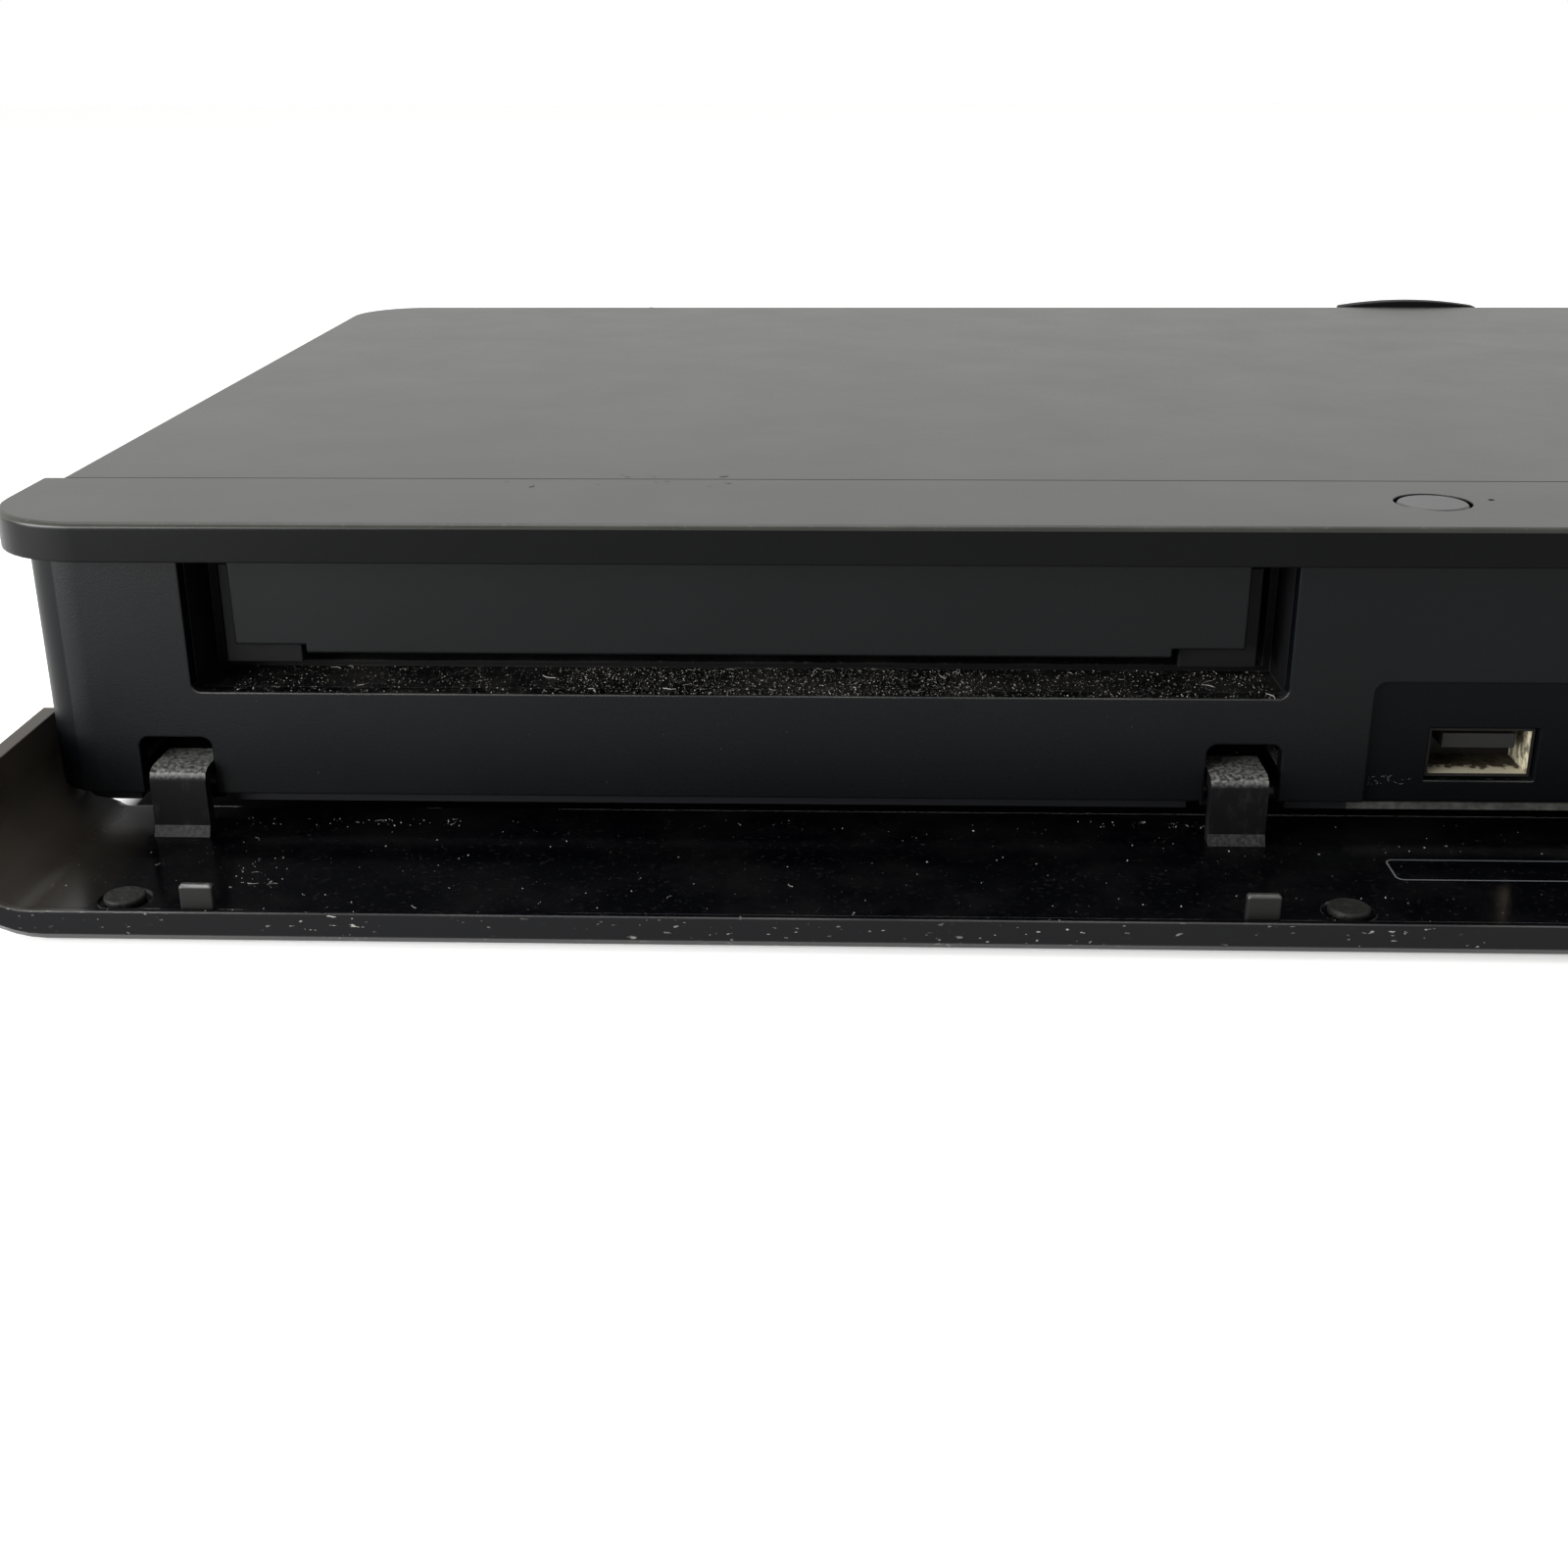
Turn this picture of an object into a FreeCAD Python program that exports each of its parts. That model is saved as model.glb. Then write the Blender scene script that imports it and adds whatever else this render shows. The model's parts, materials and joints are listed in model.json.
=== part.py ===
import FreeCAD, Part
import math
import os

# Disc recorder: full-width case, front flap folded down, disc tray closed.
# Lengths are millimetres. X runs to the right, Y from front to back, Z up from the shelf.
# While pieces are made, Y is measured from the front panel's face. save() moves them to the
# part's own origin, under the middle of the box round the whole recorder.

V = FreeCAD.Vector

# Case
case_width = 430.0
case_height = 46.0
cover_step = 2.6
cover_back = 195.0
sheet = 1.0
seam_y = 20.6
cover_side_start = 13.0
cover_corner = 14.0
cover_bottom = 7.2
rear_reach = 8.0
rear_inset = 16.7
rear_lip = 4.0
side_vents = 16
side_vent_front = 70.0
side_vent_bottom = 16.0
side_vent_top = 36.0
base_bottom = 6.7
base_flange = 9.0
base_tab_half = 20.0
base_tab_height = 5.0
base_tab_pitch = 90.0
base_vents = 8
base_vent_rows = 3
base_vent_front = 50.0
base_vent_step = 28.0
foot_radius = 14.0
foot_inset_x = 32.0
foot_inset_front = 34.0
foot_inset_rear = 26.0

# Top fascia, the plastic strip above the front
fascia_height = 4.9
fascia_front = -5.3
fascia_corner = 14.0
fascia_wall = 2.0
fascia_edge = 0.8
rib = 1.2
button_from_opening = 17.6
button_y = 8.3
button_radius = 4.55
power_inset = 29.0
power_half = 8.5
power_depth = 6.0
cap_height = 4.0
cap_edge = 0.4
stem_length = 2.9
stem_radius = 1.2
button_gap = 0.3
button_travel = 0.8

# Front panel behind the flap
panel_bottom = 8.7
panel_wall = 2.5
panel_step = 3.3
panel_corner = 8.0
panel_back = 12.6

# Disc tray and its opening
tray_inset = 94.3
opening_gap = 5.1
opening_below = 4.2
opening_corner = 1.2
bezel_over = 1.3
bezel_drop = 1.1
bezel_height = 13.2
bezel_front = 3.6
bezel_wall = 2.4
bezel_edge = 0.3
notch_width = 9.2
notch_height = 1.1
guard_reach = 2.0
guard_overlap = 6.7
guard_thick = 1.2
tray_width = 127.0
tray_short = 3.0
tray_plate = 4.2
disc_radius = 60.6
small_disc_radius = 40.6

# Loading gears
gear_module = 0.8
rack_end_gap = 2.5
rack_inset = 11.5
pinion_teeth = 18
pinion_y = 34.0
wheel_teeth = 36
idler_teeth = 12
gear_backlash = 0.3
pulley_radius = 9.0
motor_pulley_radius = 3.0
belt_thick = 0.9
shaft_radius = 1.0
running = 0.05
running_gap = 0.3

# Flap and its gooseneck hinge
flap_end_wall = 2.2
flap_corner = 13.0
flap_wall = 3.5
flap_inner_z = 4.0
flap_rear = 7.0
flap_front = -27.8
flap_end_rear = 11.6
flap_edge_chamfer = 1.1
flap_heel_chamfer = 1.0
flap_horn_cut = 3.4
flap_lip = 0.6
flap_lip_depth = 1.0
flap_return = 16.7
pivot_y = 3.85
pivot_z = 8.75
pin_radius = 1.0
arm_width = 7.3
arm_web = 2.0
arm_web_front = -3.1
arm_top = 13.0
slot_width = 9.6
slot_height = 7.8
slot_corner = 1.4
bracket_cap = 3.55
slot_inset = 18.1
slot_from_tray = 65.0
arm_offsets = (0.8, -0.8, -0.8)
pad_radius = 2.5
pad_height = 0.7
pad_moat = 0.7
pad_sink = 0.3
pad_inset = 18.3
pad_from_tray = 73.8
pad_y = -23.0
tab_width = 4.0
tab_height = 3.6
tab_thick = 1.2
tab_inset = 28.3
tab_from_tray = 63.0

# Ports on the front
usb_from_recess = 14.6
usb_width = 13.9
usb_shell_front = 1.8
usb_height = 7.1
usb_bottom = 11.5
card_from_recess = 44.1
card_width = 26.0
card_bottom = 13.0
card_height = 3.2
sensor_inset = 61.7
sensor_z = 25.0
sensor_radius = 3.0
recess_from_opening = 10.7
recess_width = 96.0
recess_height = 16.2
recess_depth = 0.8
recess_corner = 1.6

# Drive mechanism
drive_margin = 9.0
drive_front = 14.6
drive_rear_gap = 11.6
drive_floor = 9.2
drive_wall = 1.6
drive_rise = 9.4
spindle_y = 84.0
sled_y = 100.0
sled_length = 24.0
rod_radius = 1.5
screw_radius = 1.2
spindle_radius = 12.0
spindle_can = 4.0
turntable_radius = 13.0
traverse_half = 44.0
traverse_wall = 3.0
traverse_height = 6.5
shelf_half = 15.0
bridge_rise = 5.0
bridge_half = 20.0
clamper_radius = 11.8
clamper_flange = 14.5
sled_half = 31.0
sled_waist = 16.0
lens_radius = 4.2
shelf_thick = 1.4
cradle_thick = 0.8

# Electronics
hdd_gap = 11.4
hdd_width = 101.6
hdd_length = 147.0
hdd_height = 26.1
board_z = 13.0
board_thick = 1.6
board_gap = 6.0
board_inset = 6.4
board_front = 22.0
board_rear_gap = 3.2
post_radius = 2.5
post_bore = 2.6
fan_x = 14.0
fan_size = 30.0
fan_depth = 10.0
fan_bore = 13.6
chip_y = 100.0
chip_height = 2.0
fin_pitch = 3.8
transformer_y = 106.0
cooler_height = 22.0
cooler_thick = 3.0
cooler_length = 28.0
core_half_x = 12.0
core_half_y = 14.0
core_height = 20.0
core_wall = 4.0
big_can_radius = 9.0
small_can_radius = 5.0
small_can_height = 16.0
small_can_pitch = 12.0
relay = 16.0
relay_height = 14.0
tuner_left = 13.0
tuner_right = 15.0
tuner_depth = 20.8
tuner_drop = 5.0
tuner_rim = 2.0
tuner_well = 0.6
screw_head_radius = 3.4
screw_head = 1.4
side_screw_z = 13.0
side_screw_inset = 40.0
lip_screw_radius = 2.4
lip_screw_x = 60.0
board_screw_head = 5.4
board_screw = 2.2
board_screw_length = 4.5
inlet_width = 20.0
inlet_height = 12.0
inlet_z = 24.0
audio_pitch = 10.0
coax_radius = 4.75
coax_pitch = 14.0
coax_nut = 10.6
coax_nut_depth = 1.8
vent_pitch = 4.0
vent_slot = 1.8
fan_cowl_half = 14.5
fan_cowl_rise = 1.2

# Worked-out places
half = case_width / 2
cover_half = half - cover_step
panel_half = half - panel_step
flap_inner_x = half - flap_end_wall
fascia_bottom = case_height - fascia_height
base_top = base_bottom + sheet
rear_y = cover_back - 1.8 * sheet
rear_end = cover_back + rear_reach
rear_edge = cover_half - rear_inset
shift_y = -(flap_front + rear_end) / 2
bezel_top = fascia_bottom - bezel_drop
bezel_bottom = bezel_top - bezel_height
opening_bottom = bezel_bottom - opening_below
tray_z = bezel_bottom + 0.8
tray_top = tray_z + tray_plate
tray_x = tray_inset - half
bezel_width = tray_width + 2 * bezel_over
drive_half = tray_width / 2 + drive_margin
opening_width = bezel_width + 2 * opening_gap
opening_right = tray_x + opening_width / 2
recess_left = opening_right + recess_from_opening
usb_x = recess_left + usb_from_recess
card_x = recess_left + card_from_recess
sensor_x = panel_half - sensor_inset
slot_xs = (slot_inset - panel_half, tray_x + slot_from_tray, panel_half - slot_inset)
pad_xs = (pad_inset - panel_half, tray_x + pad_from_tray, panel_half - pad_inset)
tab_xs = (tab_inset - panel_half, tray_x + tab_from_tray)
button_x = opening_right + button_from_opening
power_x = half - power_inset
switch_top = case_height - cap_height - stem_length - button_travel - 0.1
drive_top = tray_top + drive_rise
drive_back = rear_y - drive_rear_gap
drive_depth = drive_back - drive_front
board_back = rear_y - board_rear_gap
power_right = cover_half - board_inset
rear_tab_x = rear_edge - 45.7
bracket_half = slot_width / 2 + 1.5


def box(x0, x1, y0, y1, z0, z1):
    return Part.makeBox(x1 - x0, y1 - y0, z1 - z0, V(x0, y0, z0))


def cyl(radius, height, x, y, z, axis=V(0, 0, 1)):
    return Part.makeCylinder(radius, height, V(x, y, z), axis)


def fuse(shapes):
    out = shapes[0]
    if len(shapes) > 1:
        out = out.multiFuse(shapes[1:])
    return out.removeSplitter()


def cut(base, tools):
    return base.cut(tools).removeSplitter() if tools else base


def group(shapes):
    return Part.makeCompound(shapes)


def hexagon(across, height, x, y, z):
    """Six-sided post about an upright axis, with its width across the flats."""
    radius = across / math.sqrt(3)
    angles = [math.radians(60 * i) for i in range(6)]
    return outline([(x + radius * math.cos(a), y + radius * math.sin(a)) for a in angles], height, z)


def save(name, shape):
    moved = shape.copy()
    moved.translate(V(0, shift_y, 0))
    moved.exportStep("parts/" + name + ".step")


def outline(points, height, z0):
    """Prism of a closed outline in XY, from z0 up."""
    wire = Part.makePolygon([V(x, y, z0) for x, y in points] + [V(points[0][0], points[0][1], z0)])
    return Part.Face(wire).extrude(V(0, 0, height))


def profile_x(points, x0, width):
    """Prism of a closed outline in YZ, from x0 to the right."""
    wire = Part.makePolygon([V(x0, y, z) for y, z in points] + [V(x0, points[0][0], points[0][1])])
    return Part.Face(wire).extrude(V(width, 0, 0))


def round_corners(shape, radius, corners):
    """Round the upright edges that stand on the given (x, y) corners."""
    picked = []
    for edge in shape.Edges:
        a, b = edge.Vertexes[0].Point, edge.Vertexes[-1].Point
        if abs(a.x - b.x) > 0.01 or abs(a.y - b.y) > 0.01:
            continue
        if any(abs(a.x - x) < 0.01 and abs(a.y - y) < 0.01 for x, y in corners):
            picked.append(edge)
    return shape.makeFillet(radius, picked) if picked else shape


def bow(half_width, y0, y1, z0, z1, radius, rear_radius=0.0):
    """Block symmetric about X=0 with rounded front corners, and rear ones if asked."""
    shape = round_corners(box(-half_width, half_width, y0, y1, z0, z1), radius,
                          [(-half_width, y0), (half_width, y0)])
    if rear_radius:
        shape = round_corners(shape, rear_radius, [(-half_width, y1), (half_width, y1)])
    return shape


def top_edges(shape, z):
    """Edges of a shape that lie flat at height z."""
    return [e for e in shape.Edges if all(abs(v.Z - z) < 0.01 for v in e.Vertexes)
            and abs(e.BoundBox.ZMin - z) < 0.01 and abs(e.BoundBox.ZMax - z) < 0.01]


def gear(teeth, thick, x, y, z, phase=0.0, bore=0.0):
    """Spur gear about an upright axis. A tooth points along +X at phase 0."""
    pitch = gear_module * teeth / 2
    root, tip = pitch - 1.15 * gear_module, pitch + 0.95 * gear_module
    half_pitch = (math.pi * gear_module / 2 - gear_backlash) / 2
    slope = math.tan(math.radians(20))
    points = []
    for i in range(teeth):
        middle = phase + 2 * math.pi * i / teeth
        stations = [(root, half_pitch + (pitch - root) * slope * 0.8), (pitch, half_pitch),
                    (tip, half_pitch - (tip - pitch) * slope * 1.5)]
        for r, w in stations:
            points.append((r, middle - w / r))
        for r, w in reversed(stations):
            points.append((r, middle + w / r))
    flat = [(x + r * math.cos(a), y + r * math.sin(a)) for r, a in points]
    shape = outline(flat, thick, z)
    return shape.cut(cyl(bore, thick, x, y, z)) if bore else shape


def slots(count, pitch, width, x0, y0, y1, z0, z1):
    """Row of equal slots along X."""
    return [box(x0 + i * pitch, x0 + i * pitch + width, y0, y1, z0, z1) for i in range(count)]


def bottom_chassis():
    """Floor tray of folded sheet: plate, nose under the front panel, side flanges and rear tabs."""
    front = panel_wall + running_gap
    edge = cover_half - sheet - running_gap
    plate = box(-edge, edge, panel_back + running_gap, rear_y, base_bottom, base_top)
    plate = round_corners(plate, cover_corner - sheet, [(-edge, rear_y), (edge, rear_y)])
    nose = bow(panel_half - panel_wall - running_gap, front, panel_back + 2.0, base_bottom, base_top,
               panel_corner - panel_wall)
    parts = [plate, nose]
    for side in (-1, 1):
        outer, inner = side * edge, side * (edge - sheet)
        parts.append(box(min(outer, inner), max(outer, inner), panel_back + 1.4, rear_y - cover_corner,
                         base_top, base_top + base_flange))
    for x in (-rear_tab_x, -rear_tab_x + base_tab_pitch, rear_tab_x):
        parts.append(box(x - base_tab_half, x + base_tab_half, rear_y - 1.1 - sheet, rear_y - 1.1,
                         base_top, base_top + base_tab_height))
    body = fuse(parts)
    half_notch = bracket_half + 0.1
    tools = [box(x - half_notch, x + half_notch, 0.0, pivot_y + 5.65, base_bottom - 1, base_top + 1)
             for x in slot_xs]
    for row in range(base_vent_rows):
        y = base_vent_front + row * base_vent_step
        tools += slots(base_vents, 5.0, 2.0, main_left + 12.0, y, y + 22.0, base_bottom - 1, base_top + 1)
    return cut(body, tools)


def posts(places, z0, z1, bored=True):
    """Hexagonal stand-offs. Those that take a screw have a hole."""
    across = 2 * post_radius
    shapes = [hexagon(across, z1 - z0, x, y, z0) for x, y in places]
    if bored:
        shapes = [s.cut(hexagon(post_bore, z1 - z0, x, y, z0)) for s, (x, y) in zip(shapes, places)]
    return shapes


def top_cover():
    """Folded sheet: top, two sides and a rear lip, with the rear corners rounded."""
    outer = bow(cover_half, 0.0, cover_back, cover_bottom, case_height, 1.0, cover_corner)
    inner = bow(cover_half - sheet, -1.0, cover_back - sheet, cover_bottom - 1, case_height - sheet, 0.5,
                cover_corner - sheet)
    shell = outer.cut(inner)
    lip = [e for e in top_edges(shell, case_height) if e.BoundBox.YMax > seam_y + 10]
    shell = shell.makeFillet(sheet * 0.9, lip)
    sides = shell.common(box(-half, half, cover_side_start, seam_y + 1, cover_bottom, fascia_bottom - 0.2))
    window = rear_edge + 0.3
    tools = [box(-half, half, -2.0, seam_y, cover_bottom - 1, case_height + 1),
             box(-window, window, cover_back - 2 * sheet, cover_back + 1, cover_bottom - 1,
                 case_height - rear_lip)]
    shell = shell.cut(tools)
    vents = []
    for x in (-cover_half - 1, cover_half - 2 * sheet):
        for i in range(side_vents):
            y = side_vent_front + i * vent_pitch
            vents.append(box(x, x + 3 * sheet, y, y + vent_slot, side_vent_bottom, side_vent_top))
    return fuse([shell, sides]).cut(vents)


def top_fascia():
    """Moulded strip along the front, with a hole for each button and ribs inside its front wall."""
    outer = bow(half, fascia_front, seam_y - 0.3, fascia_bottom, case_height, fascia_corner)
    rim = [e for e in top_edges(outer, case_height) if e.BoundBox.YMin < seam_y - 1]
    outer = outer.makeFillet(fascia_edge, rim)
    wall = fascia_wall
    inner = bow(half - wall, fascia_front + wall, seam_y + 1, fascia_bottom - 1, case_height - wall,
                fascia_corner - wall)
    last = half - fascia_corner
    ribs = [box(-last + i * last / 3, -last + i * last / 3 + rib, fascia_front + wall, 0.0, fascia_bottom,
                case_height - wall) for i in (0, 1, 2, 4, 5)]
    body = fuse([outer.cut(inner)] + ribs)
    w, d = power_half + button_gap, power_depth / 2 + button_gap
    tools = [cyl(button_radius + button_gap, 10, button_x, button_y, fascia_bottom),
             box(power_x - w, power_x + w, button_y - d, button_y + d, fascia_bottom, case_height + 1)]
    return cut(body, tools)


def channel(half_width, y0, y1, z0, z1, radius):
    """Block along Y with its two lower long edges rounded, as a trough is."""
    block = box(-half_width, half_width, y0, y1, z0, z1)
    low = [e for e in block.Edges if e.BoundBox.YLength > y1 - y0 - 1 and abs(e.BoundBox.ZMax - z0) < 0.01]
    return block.makeFillet(radius, low)


def edges_through(block, z):
    """Edges of a block that run from front to back at height z."""
    return [e for e in block.Edges if e.BoundBox.YLength > 0.5
            and abs(e.BoundBox.ZMin - z) < 0.01 and abs(e.BoundBox.ZMax - z) < 0.01]


def front_panel():
    """Moulded panel behind the flap. Its lower corners clear the flap's bend."""
    outer = bow(panel_half, 0.0, panel_back, panel_bottom, fascia_bottom - 0.2, panel_corner)
    clear = flap_inner_x - panel_half
    outer = outer.common(channel(panel_half, -1.0, panel_back + 1, flap_inner_z + clear, case_height,
                                 flap_corner - flap_wall - clear))
    inner = bow(panel_half - panel_wall, panel_wall, panel_back + 1, panel_bottom - 1, case_height,
                panel_corner - panel_wall)
    shell = outer.cut(inner)
    through = panel_wall + 1
    tools = []
    for x in slot_xs:
        slot = box(x - slot_width / 2, x + slot_width / 2, -1, through,
                   panel_bottom - 1, panel_bottom + slot_height)
        tools.append(slot.makeFillet(slot_corner, edges_through(slot, panel_bottom + slot_height)))
    w = opening_width / 2
    opening = box(tray_x - w, tray_x + w, -1, through, opening_bottom, case_height)
    tools.append(opening.makeFillet(opening_corner, edges_through(opening, opening_bottom)))
    recess = box(recess_left, recess_left + recess_width, -1, recess_depth,
                 panel_bottom - 1, panel_bottom + recess_height)
    tools.append(recess.makeFillet(recess_corner, edges_through(recess, panel_bottom + recess_height)))
    x0 = usb_x - usb_width / 2
    tools.append(box(x0, x0 + usb_width, -1, through, usb_bottom, usb_bottom + usb_height))
    tools.append(box(card_x, card_x + card_width, -1, through, card_bottom, card_bottom + card_height))
    tools.append(cyl(sensor_radius, through + 1, sensor_x, -1, sensor_z, V(0, 1, 0)))
    return cut(shell, tools)


def tray_bay():
    """Sleeve behind the tray opening: two sides and a floor."""
    w, y0, y1 = opening_width / 2, panel_wall + 0.2, drive_front - 0.2
    top = fascia_bottom - 0.3
    outer = box(tray_x - w - 1.5, tray_x + w + 1.5, y0, y1, opening_bottom - 1.5, top)
    inner = box(tray_x - w, tray_x + w, y0 - 1, y1 + 1, opening_bottom, top + 1)
    rim_y = y1 - 3.0
    rim = box(tray_x - w, tray_x + w, rim_y, y1, opening_bottom, top)
    rim = rim.cut(box(tray_x - w + 1.2, tray_x + w - 1.2, rim_y - 1, y1 + 1, opening_bottom + 0.9, top + 1))
    return fuse([outer.cut(inner), rim])


def front_flap():
    """Open: inner side up, its ends curled up. The ends reach further back than the floor."""
    outer_z = flap_inner_z - flap_wall
    outer = channel(half, flap_front, flap_end_rear, outer_z, flap_return, flap_corner)
    free_edge = [e for e in outer.Edges if e.BoundBox.YMax < flap_front + 0.01
                 and e.BoundBox.ZMin < flap_return - 1]
    outer = outer.makeChamfer(flap_edge_chamfer, free_edge)
    bend = flap_corner - flap_wall
    shell = outer.cut(channel(flap_inner_x, flap_front - 1, flap_end_rear + 1, flap_inner_z,
                              flap_return + 5, bend))
    inset = flap_edge_chamfer + 0.1
    rim = channel(half - inset, flap_front, flap_front + flap_lip_depth, outer_z + inset,
                  flap_return - inset, flap_corner - inset)
    rim = rim.cut(channel(flap_inner_x - flap_lip, flap_front - 1, flap_front + 3,
                          flap_inner_z + flap_lip, flap_return + 5, bend - flap_lip))
    horn = profile_x([(flap_front, flap_return - flap_horn_cut), (flap_front, flap_return),
                      (flap_front + flap_horn_cut, flap_return)], -half, case_width)
    rise = flap_return - flap_inner_z
    back = profile_x([(flap_rear - flap_heel_chamfer, outer_z), (flap_rear, outer_z + flap_heel_chamfer),
                      (flap_rear, flap_inner_z), (flap_rear + 1.0, flap_inner_z + 0.2),
                      (flap_rear + 2.7, flap_inner_z + 2.0), (flap_rear + 3.1, flap_inner_z + 5.0),
                      (flap_end_rear - 0.8, flap_inner_z + 0.6 * rise), (flap_end_rear, flap_return - 1.3),
                      (flap_end_rear - 1.0, flap_return), (flap_end_rear + 1, flap_return),
                      (flap_end_rear + 1, outer_z)], -half, case_width)
    moats = [cyl(pad_radius + pad_moat, pad_sink, x, pad_y, flap_inner_z - pad_sink) for x in pad_xs]
    return fuse([shell, rim]).cut([horn, back] + moats)


def hinge_arm(x):
    """Gooseneck: foot on the flap, web in front of the panel, bend through the slot, eye inside."""
    front, top, inside = arm_web_front, arm_top, arm_top - arm_web
    points = [(front - 0.8, flap_inner_z), (front, flap_inner_z + 1.4), (front, top - 1.6),
              (front + 0.5, top - 0.5), (front + 1.6, top), (pivot_y + 1.4, top),
              (pivot_y + 2.2, top - 1.0), (pivot_y + 2.0, pivot_z), (pivot_y - 2.0, pivot_z),
              (pivot_y - 0.9, inside - 0.6), (pivot_y - 1.5, inside), (front + arm_web, inside),
              (front + arm_web, flap_inner_z)]
    x0 = x - arm_width / 2
    body = profile_x(points, x0, arm_width)
    eye = cyl(2.0, arm_width, x0, pivot_y, pivot_z, V(1, 0, 0))
    bore = cyl(pin_radius + running, arm_width, x0, pivot_y, pivot_z, V(1, 0, 0))
    return fuse([body, eye]).cut(bore)


def hinge_arms():
    return group([hinge_arm(x + shift) for x, shift in zip(slot_xs, arm_offsets)])


def hinge_brackets():
    """Forks that stand on the chassis behind the slots and carry the pins."""
    shapes = []
    for x in slot_xs:
        block = box(x - bracket_half, x + bracket_half, panel_wall + running_gap, panel_back + 1.4,
                    base_top, pivot_z + bracket_cap)
        gap = slot_width / 2 + running_gap
        block = block.cut(box(x - gap, x + gap, 0, panel_back + 0.2, base_top - 1, pivot_z + 9))
        bore = cyl(pin_radius + 0.02, 2 * bracket_half, x - bracket_half, pivot_y, pivot_z, V(1, 0, 0))
        shapes.append(block.cut(bore))
    return group(shapes)


def hinge_pins():
    length = 2 * bracket_half
    return group([cyl(pin_radius, length, x - length / 2, pivot_y, pivot_z, V(1, 0, 0)) for x in slot_xs])


def flap_pads():
    """Round bumpers, each sunk in a shallow moat."""
    return group([cyl(pad_radius, pad_height + pad_sink, x, pad_y, flap_inner_z - pad_sink) for x in pad_xs])


def flap_tabs():
    y0 = flap_front + flap_lip_depth + 0.2
    tabs = []
    for x in tab_xs:
        tab = box(x - tab_width / 2, x + tab_width / 2, y0, y0 + tab_thick,
                  flap_inner_z, flap_inner_z + tab_height)
        tabs.append(tab.makeChamfer(0.3, top_edges(tab, flap_inner_z + tab_height)))
    return group(tabs)


# Disc drive. Places across it are counted from the tray's middle.
rack_x = tray_x - tray_width / 2 + rack_inset
pinion_radius = gear_module * pinion_teeth / 2
wheel_radius = gear_module * wheel_teeth / 2
idler_radius = gear_module * idler_teeth / 2
pinion_x = rack_x + pinion_radius + 0.1
idler_x = pinion_x + wheel_radius + idler_radius + 0.1
motor_x = idler_x + 27.0
rack_pitch = math.pi * gear_module
rack_start = pinion_y - 5 * rack_pitch
tray_front = bezel_front + bezel_wall
tray_back = tray_front + drive_depth - tray_short
rack_teeth = int((tray_back - rack_end_gap - rack_start) / rack_pitch)
floor_top = drive_floor + drive_wall
wheel_z = floor_top + 3.4
pulley_z = wheel_z + 3.8
pinion_z = tray_z - 3.6


def tray_bezel():
    """Front of the tray, with a notch under each end."""
    x0, x1 = tray_x - bezel_width / 2, tray_x + bezel_width / 2
    body = box(x0, x1, bezel_front, tray_front, bezel_bottom, bezel_top)
    sharp = [e for e in body.Edges if abs(e.BoundBox.YMax - bezel_front) < 0.01]
    body = body.makeFillet(bezel_edge, sharp)
    notches = [box(x, x + notch_width + 1, bezel_front - 1, tray_front + 1, bezel_bottom - 1,
                   bezel_bottom + notch_height) for x in (x0 - 1, x1 - notch_width)]
    return cut(body, notches)


def tray_guards():
    """Corner plates behind the bezel, a little wider and lower than it."""
    reach, root = bezel_width / 2 + guard_reach, tray_width / 2 - guard_overlap
    spans = ((tray_x - reach, tray_x - root), (tray_x + root, tray_x + reach))
    return [box(x0, x1, tray_front, tray_front + guard_thick, bezel_bottom - guard_reach, bezel_top - 2.0)
            for x0, x1 in spans]


def disc_tray():
    w = tray_width / 2
    plate = box(tray_x - w, tray_x + w, tray_front, tray_back, tray_z, tray_top)
    tools = [cyl(disc_radius, 5, tray_x, spindle_y, tray_top - 1.6),
             cyl(small_disc_radius, 5, tray_x, spindle_y, tray_top - 2.4),
             box(tray_x - 24, tray_x + 24, spindle_y - 20, tray_back + 1, tray_z - 1, tray_top + 1)]
    tools.append(cyl(24.0, 10, tray_x, spindle_y - 8, tray_z - 1))
    plate = cut(plate, tools)
    bar = box(rack_x - 3.0, rack_x - 0.92, rack_start, rack_start + rack_teeth * rack_pitch,
              pinion_z + 0.3, tray_z)
    half_tooth = (rack_pitch / 2 - gear_backlash) / 2
    slope = math.tan(math.radians(20))
    teeth = []
    for i in range(rack_teeth):
        y = rack_start + (i + 0.5) * rack_pitch
        root, tip = half_tooth + 0.92 * slope, half_tooth - 0.76 * slope
        points = [(rack_x - 1.0, y - root), (rack_x + 0.76, y - tip), (rack_x + 0.76, y + tip),
                  (rack_x - 1.0, y + root)]
        teeth.append(outline(points, tray_z - pinion_z - 0.3, pinion_z + 0.3))
    lip = box(tray_x - w + 4, tray_x + w - 4, tray_front, tray_front + 2.0, tray_top, bezel_top - 3.0)
    return fuse([plate, bar, lip] + tray_guards() + teeth)


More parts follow.
